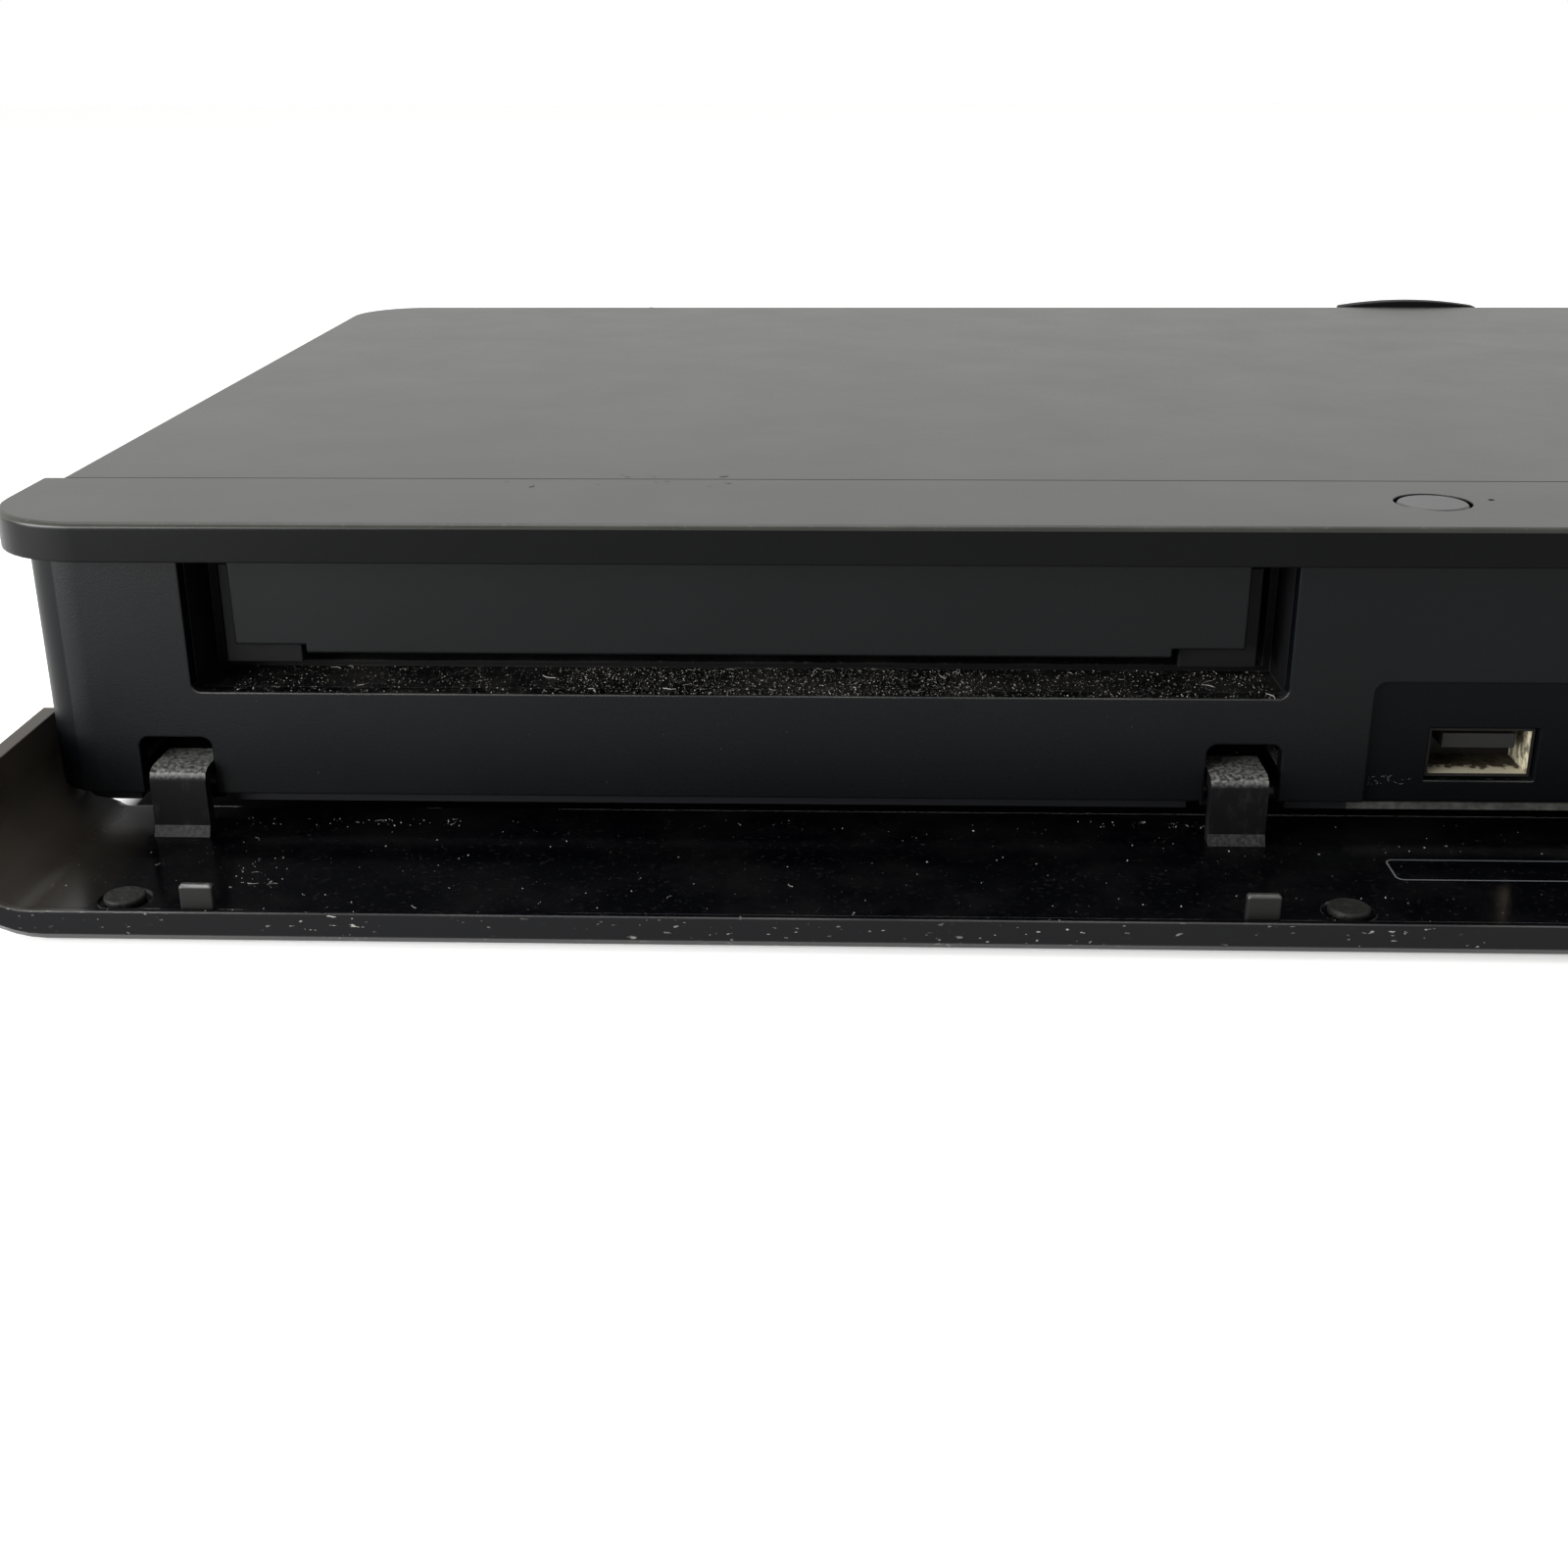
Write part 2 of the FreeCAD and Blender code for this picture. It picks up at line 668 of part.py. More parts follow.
def drive_chassis():
    x0, x1 = tray_x - drive_half, tray_x + drive_half
    wall = drive_wall
    outer = box(x0, x1, drive_front, drive_back, drive_floor, drive_top - 1.6)
    inner = box(x0 + wall, x1 - wall, drive_front + wall, drive_back - wall, floor_top, drive_top)
    mouth = box(x0 + 3.0, x1 - 3.0, drive_front - 1, drive_front + wall + 1, pinion_z - 0.6, drive_top)
    body = cut(outer, [inner, mouth])
    parts = [body]
    w = tray_width / 2
    for side in (-1, 1):
        edge = tray_x + side * (drive_half - wall)
        inside = tray_x + side * (w - 2.0)
        lo, hi = min(edge, inside), max(edge, inside)
        parts.append(box(lo, hi, drive_front + 8, drive_back - wall, tray_z - 2.2, tray_z - 0.2))
        for y in (40.0, 120.0):
            parts.append(box(lo, hi, y, y + 12.0, tray_top + 0.3, tray_top + 1.8))
    parts += [cyl(3.0, wheel_z - 0.2 - floor_top, x, pinion_y, floor_top) for x in (pinion_x, idler_x)]
    parts += [cyl(shaft_radius, z - floor_top, x, pinion_y, floor_top)
              for x, z in ((pinion_x, tray_z - 0.3), (idler_x, pulley_z + 4.2))]
    body = fuse(parts)
    opening = box(tray_x - 30, tray_x + 30, frame_y0 + 6, frame_y1 - 8, drive_floor - 1, floor_top + 1)
    return body.cut(opening)


def gear_pair():
    """Pinion in the rack, over a wheel in mesh with the idler."""
    bore = shaft_radius + running
    top = gear(pinion_teeth, tray_z - 0.3 - pinion_z, pinion_x, pinion_y, pinion_z)
    wheel = gear(wheel_teeth, 3.0, pinion_x, pinion_y, wheel_z)
    hub = cyl(4.5, pinion_z - wheel_z, pinion_x, pinion_y, wheel_z)
    return fuse([top, wheel, hub]).cut(cyl(bore, 40, pinion_x, pinion_y, 0))


def idler_pulley():
    """Idler pinion under a grooved belt pulley."""
    bore = shaft_radius + running
    phase = math.pi * (1 - 1.0 / idler_teeth)
    small = gear(idler_teeth, pulley_z - wheel_z, idler_x, pinion_y, wheel_z, phase)
    disc = cyl(pulley_radius + 1.0, 4.0, idler_x, pinion_y, pulley_z)
    groove = cyl(pulley_radius + 2.0, 2.0, idler_x, pinion_y, pulley_z + 1.0)
    groove = groove.cut(cyl(pulley_radius, 2.0, idler_x, pinion_y, pulley_z + 1.0))
    return fuse([small, disc.cut(groove)]).cut(cyl(bore, 40, idler_x, pinion_y, 0))


def motor_pulley():
    disc = cyl(motor_pulley_radius + 1.0, 4.0, motor_x, pinion_y, pulley_z)
    groove = cyl(motor_pulley_radius + 2.0, 2.0, motor_x, pinion_y, pulley_z + 1.0)
    groove = groove.cut(cyl(motor_pulley_radius, 2.0, motor_x, pinion_y, pulley_z + 1.0))
    return disc.cut(groove).cut(cyl(shaft_radius + running, 40, motor_x, pinion_y, 0))


def belt_loop(grow, height, z):
    """Solid within a belt's outline: two circles and their outer tangents."""
    r0, r1 = pulley_radius + grow, motor_pulley_radius + grow
    span = motor_x - idler_x
    tilt = math.acos((r0 - r1) / span)
    def rim(x, r, a):
        return V(x + r * math.cos(a), pinion_y + r * math.sin(a), z)
    edges = [Part.LineSegment(rim(idler_x, r0, tilt), rim(motor_x, r1, tilt)).toShape(),
             Part.Arc(rim(motor_x, r1, tilt), rim(motor_x, r1, 0), rim(motor_x, r1, -tilt)).toShape(),
             Part.LineSegment(rim(motor_x, r1, -tilt), rim(idler_x, r0, -tilt)).toShape(),
             Part.Arc(rim(idler_x, r0, -tilt), rim(idler_x, r0, math.pi), rim(idler_x, r0, tilt)).toShape()]
    return Part.Face(Part.Wire(edges)).extrude(V(0, 0, height))


def drive_belt():
    outer = belt_loop(running + belt_thick, 1.6, pulley_z + 1.2)
    return outer.cut(belt_loop(running, 1.6, pulley_z + 1.2))


def loading_motor():
    can = cyl(6.0, pulley_z - 0.6 - floor_top, motor_x, pinion_y, floor_top)
    return fuse([can, cyl(shaft_radius, 5.0, motor_x, pinion_y, pulley_z - 0.7)])


# Traverse: frame, spindle, rods, screw and laser sled
frame_z0 = floor_top + 2.0
frame_z1 = frame_z0 + traverse_height
frame_y0 = 56.0
frame_y1 = drive_back - 13.6
rod_xs = (tray_x - sled_half + 4, tray_x + sled_half - 4)
rod_z = frame_z0 + 4.6
screw_x = tray_x + traverse_half - 8
turntable_z = tray_top - 3.4
motor_length = 16.0


def traverse_frame():
    """Open frame with a shelf for the spindle motor and a cradle for the sled's motor."""
    w, wall = traverse_half, traverse_wall
    outer = box(tray_x - w, tray_x + w, frame_y0, frame_y1, frame_z0, frame_z1)
    inner = box(tray_x - w + wall, tray_x + w - wall, frame_y0 + wall, frame_y1 - wall,
                frame_z0 - 1, frame_z1 + 1)
    shelf = box(tray_x - shelf_half, tray_x + shelf_half, frame_y0 + 1, spindle_y + turntable_radius,
                frame_z0, frame_z0 + shelf_thick)
    cradle = box(screw_x - 5, tray_x + w - 2, frame_y0 + 1, frame_y0 + wall + motor_length,
                 frame_z0, frame_z0 + cradle_thick)
    body = fuse([outer.cut(inner), shelf, cradle])
    length = frame_y1 - frame_y0
    bores = [cyl(rod_radius, length - wall, x, frame_y0 + wall / 2, rod_z, V(0, 1, 0)) for x in rod_xs]
    bores.append(cyl(screw_radius + running, wall - 1.0, screw_x, frame_y1 - wall, rod_z, V(0, 1, 0)))
    return cut(body, bores)


def grommets():
    z0, height = floor_top, frame_z0 - floor_top
    return group([cyl(3.5, height, tray_x + sx * 39, y, z0)
                  for sx in (-1, 1) for y in (frame_y0 + 3.6, frame_y1 - 3.6)])


def guide_rods():
    length = frame_y1 - frame_y0 - 3
    return group([cyl(rod_radius, length, x, frame_y0 + 1.5, rod_z, V(0, 1, 0)) for x in rod_xs])


def spindle_motor():
    """Flat motor on the traverse's shelf, with a boss and a shaft up to the turntable."""
    z0 = frame_z0 + shelf_thick
    return fuse([cyl(spindle_radius, spindle_can, tray_x, spindle_y, z0),
                 cyl(spindle_radius / 3, turntable_z - 5.2 - z0, tray_x, spindle_y, z0),
                 cyl(shaft_radius, turntable_z + 3.0 - z0, tray_x, spindle_y, z0)])


def turntable():
    """Plate that carries the disc, its centring cone and the hub on the motor's shaft."""
    plate = cyl(turntable_radius, 2.0, tray_x, spindle_y, turntable_z)
    skirt = cyl(4.0, 3.0, tray_x, spindle_y, turntable_z - 3.0)
    cone = Part.makeCone(7.4, 5.2, 2.2, V(tray_x, spindle_y, turntable_z + 2.0))
    return fuse([plate, skirt, cone]).cut(cyl(shaft_radius + running, 40, tray_x, spindle_y, 0))


def optical_sled():
    """Laser block on two rods, with a nut on the lead screw and a well for the lens."""
    w = sled_half
    z0, z1 = frame_z0 + 0.4, frame_z1 + 3.2
    body = box(tray_x - w, tray_x + w, sled_y, sled_y + sled_length, z0, z1)
    waist = [box(tray_x + s * (w - 7) - sled_waist / 2, tray_x + s * (w - 7) + sled_waist / 2,
                 sled_y - 1, sled_y + sled_length + 1, frame_z1 + 0.2, z1 + 1) for s in (-1, 1)]
    body = cut(body, waist)
    nut = box(tray_x + w - 1, screw_x + 3.0, sled_y + 8, sled_y + 14, rod_z - 2.6, rod_z + 2.6)
    body = fuse([body, nut])
    length = 4 * sled_length
    bores = [cyl(rod_radius + 0.08, length, x, sled_y - 20, rod_z, V(0, 1, 0)) for x in rod_xs]
    bores.append(cyl(screw_radius + 0.1, length, screw_x, sled_y - 20, rod_z, V(0, 1, 0)))
    bores.append(cyl(lens_radius, 4.0, tray_x, sled_y + 10, z1 - 2.0))
    return cut(body, bores)


def objective_lens():
    """Lens ring in the sled, with a bevelled lens on top."""
    z0 = frame_z1 + 1.2
    ring = cyl(lens_radius, 2.4, tray_x, sled_y + 10, z0)
    return fuse([ring, Part.makeCone(3.0, 2.2, 0.9, V(tray_x, sled_y + 10, z0 + 2.4))])


def lead_screw():
    y0 = frame_y0 + 3 + motor_length
    return cyl(screw_radius, frame_y1 - 1.2 - y0, screw_x, y0 + 0.2, rod_z, V(0, 1, 0))


def sled_motor():
    radius = rod_z - frame_z0 - 0.8
    return cyl(radius, motor_length - 0.2, screw_x, frame_y0 + 3.2, rod_z, V(0, 1, 0))


def drive_cover():
    x0, x1 = tray_x - drive_half, tray_x + drive_half
    z0 = drive_top - 1.6
    plate = box(x0, x1, drive_front, drive_back, z0, z0 + 0.8)
    dimple = cyl(22.0, 0.8, tray_x, spindle_y, z0 + 0.8)
    ribs = [box(x, x + 4.0, drive_front + 25.4, drive_back - 21.6, z0 + 0.8, z0 + 1.3)
            for x in (x0 + 22, x1 - 26)]
    return fuse([plate, dimple] + ribs)


bridge_z = tray_top + bridge_rise


def clamper_bridge():
    """Strip across the drive, with a hole that holds the clamper."""
    x0, x1 = tray_x - drive_half + drive_wall, tray_x + drive_half - drive_wall
    y0, y1 = spindle_y - bridge_half, spindle_y + bridge_half
    plate = box(x0, x1, y0, y1, bridge_z, bridge_z + 1.0)
    feet = [box(x, x + 1.2, y0, y1, tray_top + 1.9, bridge_z) for x in (x0 + 0.1, x1 - 1.3)]
    return fuse([plate] + feet).cut(cyl(clamper_radius + 0.5, 5, tray_x, spindle_y, bridge_z - 1))


def clamper():
    """Magnet holder that hangs in the bridge's hole by its flange."""
    hub = cyl(clamper_radius, 2.6, tray_x, spindle_y, bridge_z - 1.3)
    flange = cyl(clamper_flange, 0.7, tray_x, spindle_y, bridge_z + 1.05)
    return fuse([hub, flange])


def button_stem(x):
    bottom = switch_top + button_travel + 0.1
    return cyl(stem_radius, stem_length, x, button_y, bottom)


def open_close_button():
    cap = cyl(button_radius, cap_height, button_x, button_y, case_height - cap_height)
    cap = cap.makeChamfer(cap_edge, top_edges(cap, case_height))
    return fuse([cap, button_stem(button_x)])


def power_button():
    cap = box(power_x - power_half, power_x + power_half, button_y - power_depth / 2,
              button_y + power_depth / 2, case_height - cap_height, case_height)
    cap = cap.makeChamfer(cap_edge, top_edges(cap, case_height))
    return fuse([cap, button_stem(power_x)])


button_board_z = switch_top - 3.6


def button_boards():
    """Small boards on legs, each with a tact switch under its button."""
    shapes = []
    top = button_board_z + 1.0
    for x in (button_x, power_x):
        board = box(x - 9.0, x + 9.0, button_y - 2.6, panel_back + 1.4, button_board_z, top)
        switch = box(x - 3.0, x + 3.0, button_y - 2.5, button_y + 2.5, top, switch_top - 0.8)
        plunger = cyl(1.6, 0.8, x, button_y, switch_top - 0.8)
        leg = box(x - 9.0, x + 1.0, panel_back + 0.3, panel_back + 1.4, base_top, button_board_z)
        shapes.append(fuse([board, switch, plunger, leg]))
    return group(shapes)


front_board_y = 9.4


def front_board():
    """Upright board behind the panel. It carries the ports, the sensor and three headers."""
    right = sensor_x + 26.0
    back = front_board_y + board_thick
    plate = box(recess_left - 2, right, front_board_y, back, base_top, button_board_z - 1.1)
    notch = card_x + card_width + 16.0
    plate = plate.cut(box(notch, notch + 14.0, front_board_y - 1, back + 1, base_top + 12.3, case_height))
    headers = [box(x, x + 10.0, back, back + 1.6, base_top + 6.3, base_top + 14.3)
               for x in (notch + 24.0, notch + 44.0, notch + 64.0)]
    return fuse([plate] + headers)


def infrared_sensor():
    dome = cyl(sensor_radius - 0.1, front_board_y - 3.0, sensor_x, 1.2, sensor_z, V(0, 1, 0))
    body = box(sensor_x - 3.5, sensor_x + 3.5, 4.2, front_board_y, sensor_z - 4.0, sensor_z + 4.0)
    return fuse([dome, body])


def socket_shell(x, width, height, y0, y1, z0, wall=0.4):
    outer = box(x - width / 2, x + width / 2, y0, y1, z0, z0 + height)
    inner = box(x - width / 2 + wall, x + width / 2 - wall, y0 - 1, y1 - wall, z0 + wall, z0 + height - wall)
    return outer.cut(inner)


def usb_port():
    inset = 0.25
    return socket_shell(usb_x, usb_width - 2 * inset, usb_height - 2 * inset, usb_shell_front, front_board_y,
                        usb_bottom + inset)


def usb_tongue():
    x0, z1 = usb_x - 4.6, usb_bottom + usb_height - 1.3
    return box(x0, x0 + 9.2, 2.6, front_board_y - 0.4, z1 - 1.9, z1)


def card_socket():
    inset = 0.2
    x = card_x + card_width / 2
    return socket_shell(x, card_width + 2.0, card_height + 2.0, panel_wall + 0.2, front_board_y,
                        card_bottom - 1.0, 0.9 + inset)


hdd_x = tray_x + drive_half + hdd_gap + hdd_width / 2
fan_front = rear_y - 1.2 - fan_depth
fan_z = (base_top + case_height - sheet) / 2
hdd_front = (front_board_y + board_thick + 1.6 + fan_front - hdd_length) / 2
main_left = hdd_x + hdd_width / 2 + 7.2
board_width = (power_right - main_left - board_gap) / 2
main_right = main_left + board_width
power_left = power_right - board_width


def hard_drive():
    """Closed drive: cast body with rounded corners, raised lid and the hub's cap."""
    x0, x1 = hdd_x - hdd_width / 2, hdd_x + hdd_width / 2
    y0, y1 = hdd_front, hdd_front + hdd_length
    z0 = base_top + 3.0
    body = box(x0, x1, y0, y1, z0, z0 + hdd_height - 2.0)
    body = body.makeFillet(3.0, [e for e in body.Edges if e.BoundBox.ZLength > 10])
    lid = box(x0 + 3, x1 - 3, y0 + 3, y1 - 18, z0 + hdd_height - 2.0, z0 + hdd_height)
    hub = cyl(16.0, 0.4, hdd_x, y0 + 52, z0 + hdd_height)
    return fuse([body, lid, hub])


def drive_bracket():
    """Folded cradle that carries the hard drive by its sides."""
    x0, x1 = hdd_x - hdd_width / 2, hdd_x + hdd_width / 2
    y0, y1 = hdd_front + 6, hdd_front + hdd_length - 6
    thick = 1.2 * sheet
    shapes = []
    for wall_x, foot0, foot1 in ((x0 - thick, x0 - 9.0, x0), (x1, x1, x1 + 9.0)):
        wall = box(wall_x, wall_x + thick, y0, y1, base_top, base_top + 16.0)
        feet = [box(foot0, foot1, y, y + 14.0, base_top, base_top + thick) for y in (y0 + 6, y1 - 20)]
        shapes.append(fuse([wall] + feet))
    return group(shapes)


def board(left, right):
    """Circuit board with a hole near each corner, and where those holes are."""
    places = [(x, y) for x in (left + 5, right - 5) for y in (board_front + 6, board_back - 50)]
    plate = box(left, right, board_front, board_back, board_z, board_z + board_thick)
    return plate.cut([cyl(1.6, 4, x, y, board_z - 1) for x, y in places]), places


def main_board():
    """Processor under its heat sink, two memory chips, a bridge chip and a row of small capacitors."""
    plate = board(main_left, main_right)[0]
    top = board_z + board_thick
    x = main_left
    parts = [plate,
             box(x + 8, x + 36, chip_y - 14, chip_y + 14, top, top + chip_height),
             box(x + 9, x + 19, chip_y + 22, chip_y + 32, top, top + 1.2),
             box(x + 25, x + 35, chip_y + 22, chip_y + 32, top, top + 1.2),
             box(x + 10, x + 30, chip_y - 60, chip_y - 40, top, top + 1.6)]
    parts += [cyl(2.5, 6.0, x + 12 + 10 * i, chip_y - 28, top) for i in range(3)]
    return fuse(parts)


def heat_sink():
    """Finned block that covers the processor."""
    top = board_z + board_thick + chip_height
    x0, x1, y0 = main_left + 10, main_left + 34, chip_y - 12
    base = box(x0, x1, y0, y0 + 24, top, top + 1.6)
    fins = [box(x0, x1, y, y + 1.2, top + 1.6, top + 10.0) for y in [y0 + i * fin_pitch for i in range(7)]]
    return fuse([base] + fins)


def power_board():
    """Mains board with two cooling plates and a relay."""
    plate = board(power_left, power_right)[0]
    top = board_z + board_thick
    plates = [box(x, x + cooler_thick, y, y + cooler_length, top, top + cooler_height)
              for x, y in ((power_left + 6, transformer_y - 16), (power_right - 12, transformer_y - 46))]
    x, y = power_left + core_half_y, board_back - 40
    return fuse([plate, box(x, x + relay, y, y + relay, top, top + relay_height)] + plates)


def transformer():
    """Ferrite core, open at both ends where the winding shows."""
    x, y, z = power_left + core_half_x + 13, transformer_y, board_z + board_thick
    w, d, wall = core_half_x, core_half_y, core_wall
    core = box(x - w, x + w, y - d, y + d, z, z + core_height)
    ends = [box(x - w + wall, x + w - wall, y0, y0 + wall + 2, z + wall, z + core_height - wall)
            for y0 in (y - d - 1, y + d - wall - 1)]
    return core.cut(ends)


def capacitors():
    """One large smoothing capacitor, and a row of small ones as long as the board is wide."""
    top = board_z + board_thick
    count = int((board_width - 8) / small_can_pitch)
    small = [cyl(small_can_radius, small_can_height, power_left + (i + 1) * small_can_pitch,
                 board_front + core_half_y, top) for i in range(count)]
    large = cyl(big_can_radius, cooler_height, power_left + 2 * big_can_radius, transformer_y - 40, top)
    return group([large] + small)


port_row_z = board_z + board_thick
inlet_x = rear_edge - 13.7
audio_xs = [inlet_x - 36.0 + i * audio_pitch for i in range(3)]
lan_x = audio_xs[0] - 20.8
hdmi_x = lan_x - 17.6
tuner_x = hdmi_x - 23.6
coax_xs = (tuner_x - 5, tuner_x + 7)
coax_zs = (case_height - 10.0 - coax_pitch, case_height - 10.0)
rear_holes_y = rear_y - sheet - 1


def rear_panel():
    """Sheet with a cut-out for each socket, the fan's outlet and two rows of slots."""
    plate = box(-rear_edge, rear_edge, rear_y - sheet, rear_y, base_top + 0.1, case_height - rear_lip - 0.3)
    y0, y1 = rear_holes_y, rear_y + 1
    tools = [cyl(coax_radius + 0.2, 3 * sheet, x, y0, z, V(0, 1, 0)) for x in coax_xs for z in coax_zs]
    tools.append(box(hdmi_x - 7.8, hdmi_x + 7.8, y0, y1, port_row_z + 0.2, port_row_z + 6.8))
    tools.append(box(lan_x - 8.2, lan_x + 8.2, y0, y1, port_row_z + 0.2, port_row_z + 14.2))
    tools += [cyl(4.3, 3 * sheet, x, y0, port_row_z + 7, V(0, 1, 0)) for x in audio_xs]
    w, h = inlet_width / 2 + 0.2, inlet_height / 2 + 0.2
    tools.append(box(inlet_x - w, inlet_x + w, y0, y1, inlet_z - h, inlet_z + h))
    tools.append(cyl(fan_bore, 3 * sheet, fan_x, y0, fan_z, V(0, 1, 0)))
    first = 15.7 - rear_edge
    tools += slots(20, vent_pitch, vent_slot, first, y0, y1, 18.0, 36.0)
    tools += slots(14, vent_pitch, vent_slot, first + 100.0, y0, y1, 18.0, 36.0)
    return plate.cut(tools)


def tuner_module():
    """Screening can on the main board, with a shallow well in its lid."""
    x0, x1, y1 = tuner_x - tuner_left, tuner_x + tuner_right, rear_y - 1.2
    y0, top, rim = y1 - tuner_depth, case_height - tuner_drop, tuner_rim
    can = box(x0, x1, y0, y1, port_row_z, top)
    return can.cut(box(x0 + rim, x1 - rim, y0 + rim, y1 - rim, top - tuner_well, top + 1))


def coax_connectors():
    """Threaded aerial sockets, two in and two out, each with a nut against the rear panel."""
    shapes = []
    for x in coax_xs:
        for z in coax_zs:
            barrel = cyl(coax_radius, rear_end - rear_y + 1.2, x, rear_y - 1.2, z, V(0, 1, 0))
            nut = hexagon(coax_nut, coax_nut_depth, 0, 0, 0)
            nut.rotate(V(0, 0, 0), V(1, 0, 0), -90)
            nut.translate(V(x, rear_y, z))
            shapes.append(fuse([barrel, nut]).cut(cyl(3.4, 9, x, rear_end - 6.0, z, V(0, 1, 0))))
    return group(shapes)


def hdmi_port():
    z0, depth = port_row_z + 0.5, 12.0
    tongue = box(hdmi_x - 5.0, hdmi_x + 5.0, rear_y - depth + 5, rear_y - 2, z0 + 2.4, z0 + 3.6)
    return fuse([socket_shell_rear(hdmi_x, 15.0, 6.0, z0, depth), tongue])


def lan_port():
    return socket_shell_rear(lan_x, 16.0, 13.4, port_row_z + 0.5, 16.0, 0.8)


def socket_shell_rear(x, width, height, z0, depth, wall=0.4):
    outer = box(x - width / 2, x + width / 2, rear_y - depth, rear_y + 0.4, z0, z0 + height)
    inner = box(x - width / 2 + wall, x + width / 2 - wall, rear_y - depth + 6, rear_y + 1,
                z0 + wall, z0 + height - wall)
    return outer.cut(inner)


def audio_sockets():
    shapes = []
    block = box(audio_xs[0] - 5, audio_xs[-1] + 5, rear_y - 12.0, rear_y - 1.2, port_row_z, port_row_z + 13)
    for x in audio_xs:
        barrel = cyl(4.1, 7.0, x, rear_y - 1.3, port_row_z + 7, V(0, 1, 0))
        shapes.append(barrel.cut(cyl(3.0, 9, x, rear_y + 1.0, port_row_z + 7, V(0, 1, 0))))
    return fuse([block] + shapes)


def mains_inlet():
    w, h = inlet_width / 2, inlet_height / 2
    outer = box(inlet_x - w, inlet_x + w, rear_y - 14.0, rear_y + 1.2, inlet_z - h, inlet_z + h)
    outer = outer.makeFillet(2.0, [e for e in outer.Edges if e.BoundBox.YLength > 10])
    inner = box(inlet_x - w + 2, inlet_x + w - 2, rear_y - 10.0, rear_y + 2,
                inlet_z - h + 2, inlet_z + h - 2)
    stand = box(inlet_x - 6, inlet_x + 6, rear_y - 12.0, rear_y - 4.0, port_row_z, inlet_z - h)
    return fuse([outer.cut(inner), stand])


def inlet_pins():
    return group([cyl(1.15, 8.0, inlet_x + d, rear_y - 10.0, inlet_z, V(0, 1, 0)) for d in (-4.0, 4.0)])


def fan_frame():
    s = fan_size / 2
    y0 = fan_front
    frame = box(fan_x - s, fan_x + s, y0, y0 + fan_depth, fan_z - s, fan_z + s)
    frame = frame.makeFillet(2.5, [e for e in frame.Edges if e.BoundBox.YLength > 5])
    frame = frame.cut(cyl(fan_bore, fan_depth + 2, fan_x, y0 - 1, fan_z, V(0, 1, 0)))
    spokes = [box(fan_x - fan_bore - 0.5, fan_x + fan_bore + 0.5, y0, y0 + 1.2, fan_z - 1, fan_z + 1),
              box(fan_x - 1, fan_x + 1, y0, y0 + 1.2, fan_z - fan_bore - 0.5, fan_z + fan_bore + 0.5)]
    hub = cyl(6.0, 1.2, fan_x, y0, fan_z, V(0, 1, 0))
    axle = cyl(shaft_radius, fan_depth - 2.0, fan_x, y0, fan_z, V(0, 1, 0))
    foot = box(fan_x - s, fan_x + s, y0, y0 + fan_depth, base_top, fan_z - s + 0.01)
    return fuse([frame, hub, axle, foot] + spokes)


def fan_rotor():
    y0 = fan_front + 1.6
    depth = fan_depth - 2.6
    hub = cyl(6.5, depth, fan_x, y0, fan_z, V(0, 1, 0))
    blades = []
    for i in range(7):
        blade = box(5.5, fan_bore - 0.6, -0.5, 0.5, 0.8, depth - 0.8)
        blade.rotate(V(0, 0, 0), V(1, 0, 0), 35)
        blade = blade.common(box(0, 20, -9, 9, 0.2, depth - 0.2))
        blade.rotate(V(0, 0, 0), V(0, 0, 1), i * 360.0 / 7)
        blade.rotate(V(0, 0, 0), V(1, 0, 0), -90)
        blade.translate(V(fan_x, y0, fan_z))
        blades.append(blade)
    return fuse([hub] + blades).cut(cyl(shaft_radius + running, 20, fan_x, y0 - 1, fan_z, V(0, 1, 0)))


def fan_cowl():
    """Moulded hood over the fan outlet. Its crown stands a little above the cover."""
    y0, y1 = cover_back + 0.1, cover_back + 3.4
    z0, z1 = base_top + 3.3, case_height
    left, right = fan_x - fan_cowl_half, fan_x + fan_cowl_half
    edges = [Part.LineSegment(V(left, y0, z1), V(left, y0, z0)).toShape(),
             Part.LineSegment(V(left, y0, z0), V(right, y0, z0)).toShape(),
             Part.LineSegment(V(right, y0, z0), V(right, y0, z1)).toShape(),
             Part.Arc(V(right, y0, z1), V(fan_x, y0, z1 + fan_cowl_rise), V(left, y0, z1)).toShape()]
    body = Part.Face(Part.Wire(edges)).extrude(V(0, y1 - y0, 0))
    grille = [box(fan_x - 11.5, fan_x + 11.5, y0 - 1, y1 + 1, fan_z - 11.1 + i * vent_pitch,
                  fan_z - 8.9 + i * vent_pitch) for i in range(6)]
    return body.cut(grille)


def feet():
    """Round rubber feet, a little narrower at the shelf."""
    return group([Part.makeCone(foot_radius - 1.0, foot_radius, base_bottom, V(x, y, 0))
                  for x in (-half + foot_inset_x, half - foot_inset_x)
                  for y in (foot_inset_front, cover_back - foot_inset_rear)])


def stand_offs():
    """Posts that lift the boards and the disc drive off the chassis."""
    shapes = []
    for left, right in ((main_left, main_right), (power_left, power_right)):
        shapes += posts(board(left, right)[1], base_top, board_z)
    xs = (tray_x - drive_half + 8, tray_x + drive_half - 8)
    shapes += posts([(x, y) for x in xs for y in (drive_front + 12, drive_back - 12)],
                    base_top, drive_floor, False)
    return group(shapes)


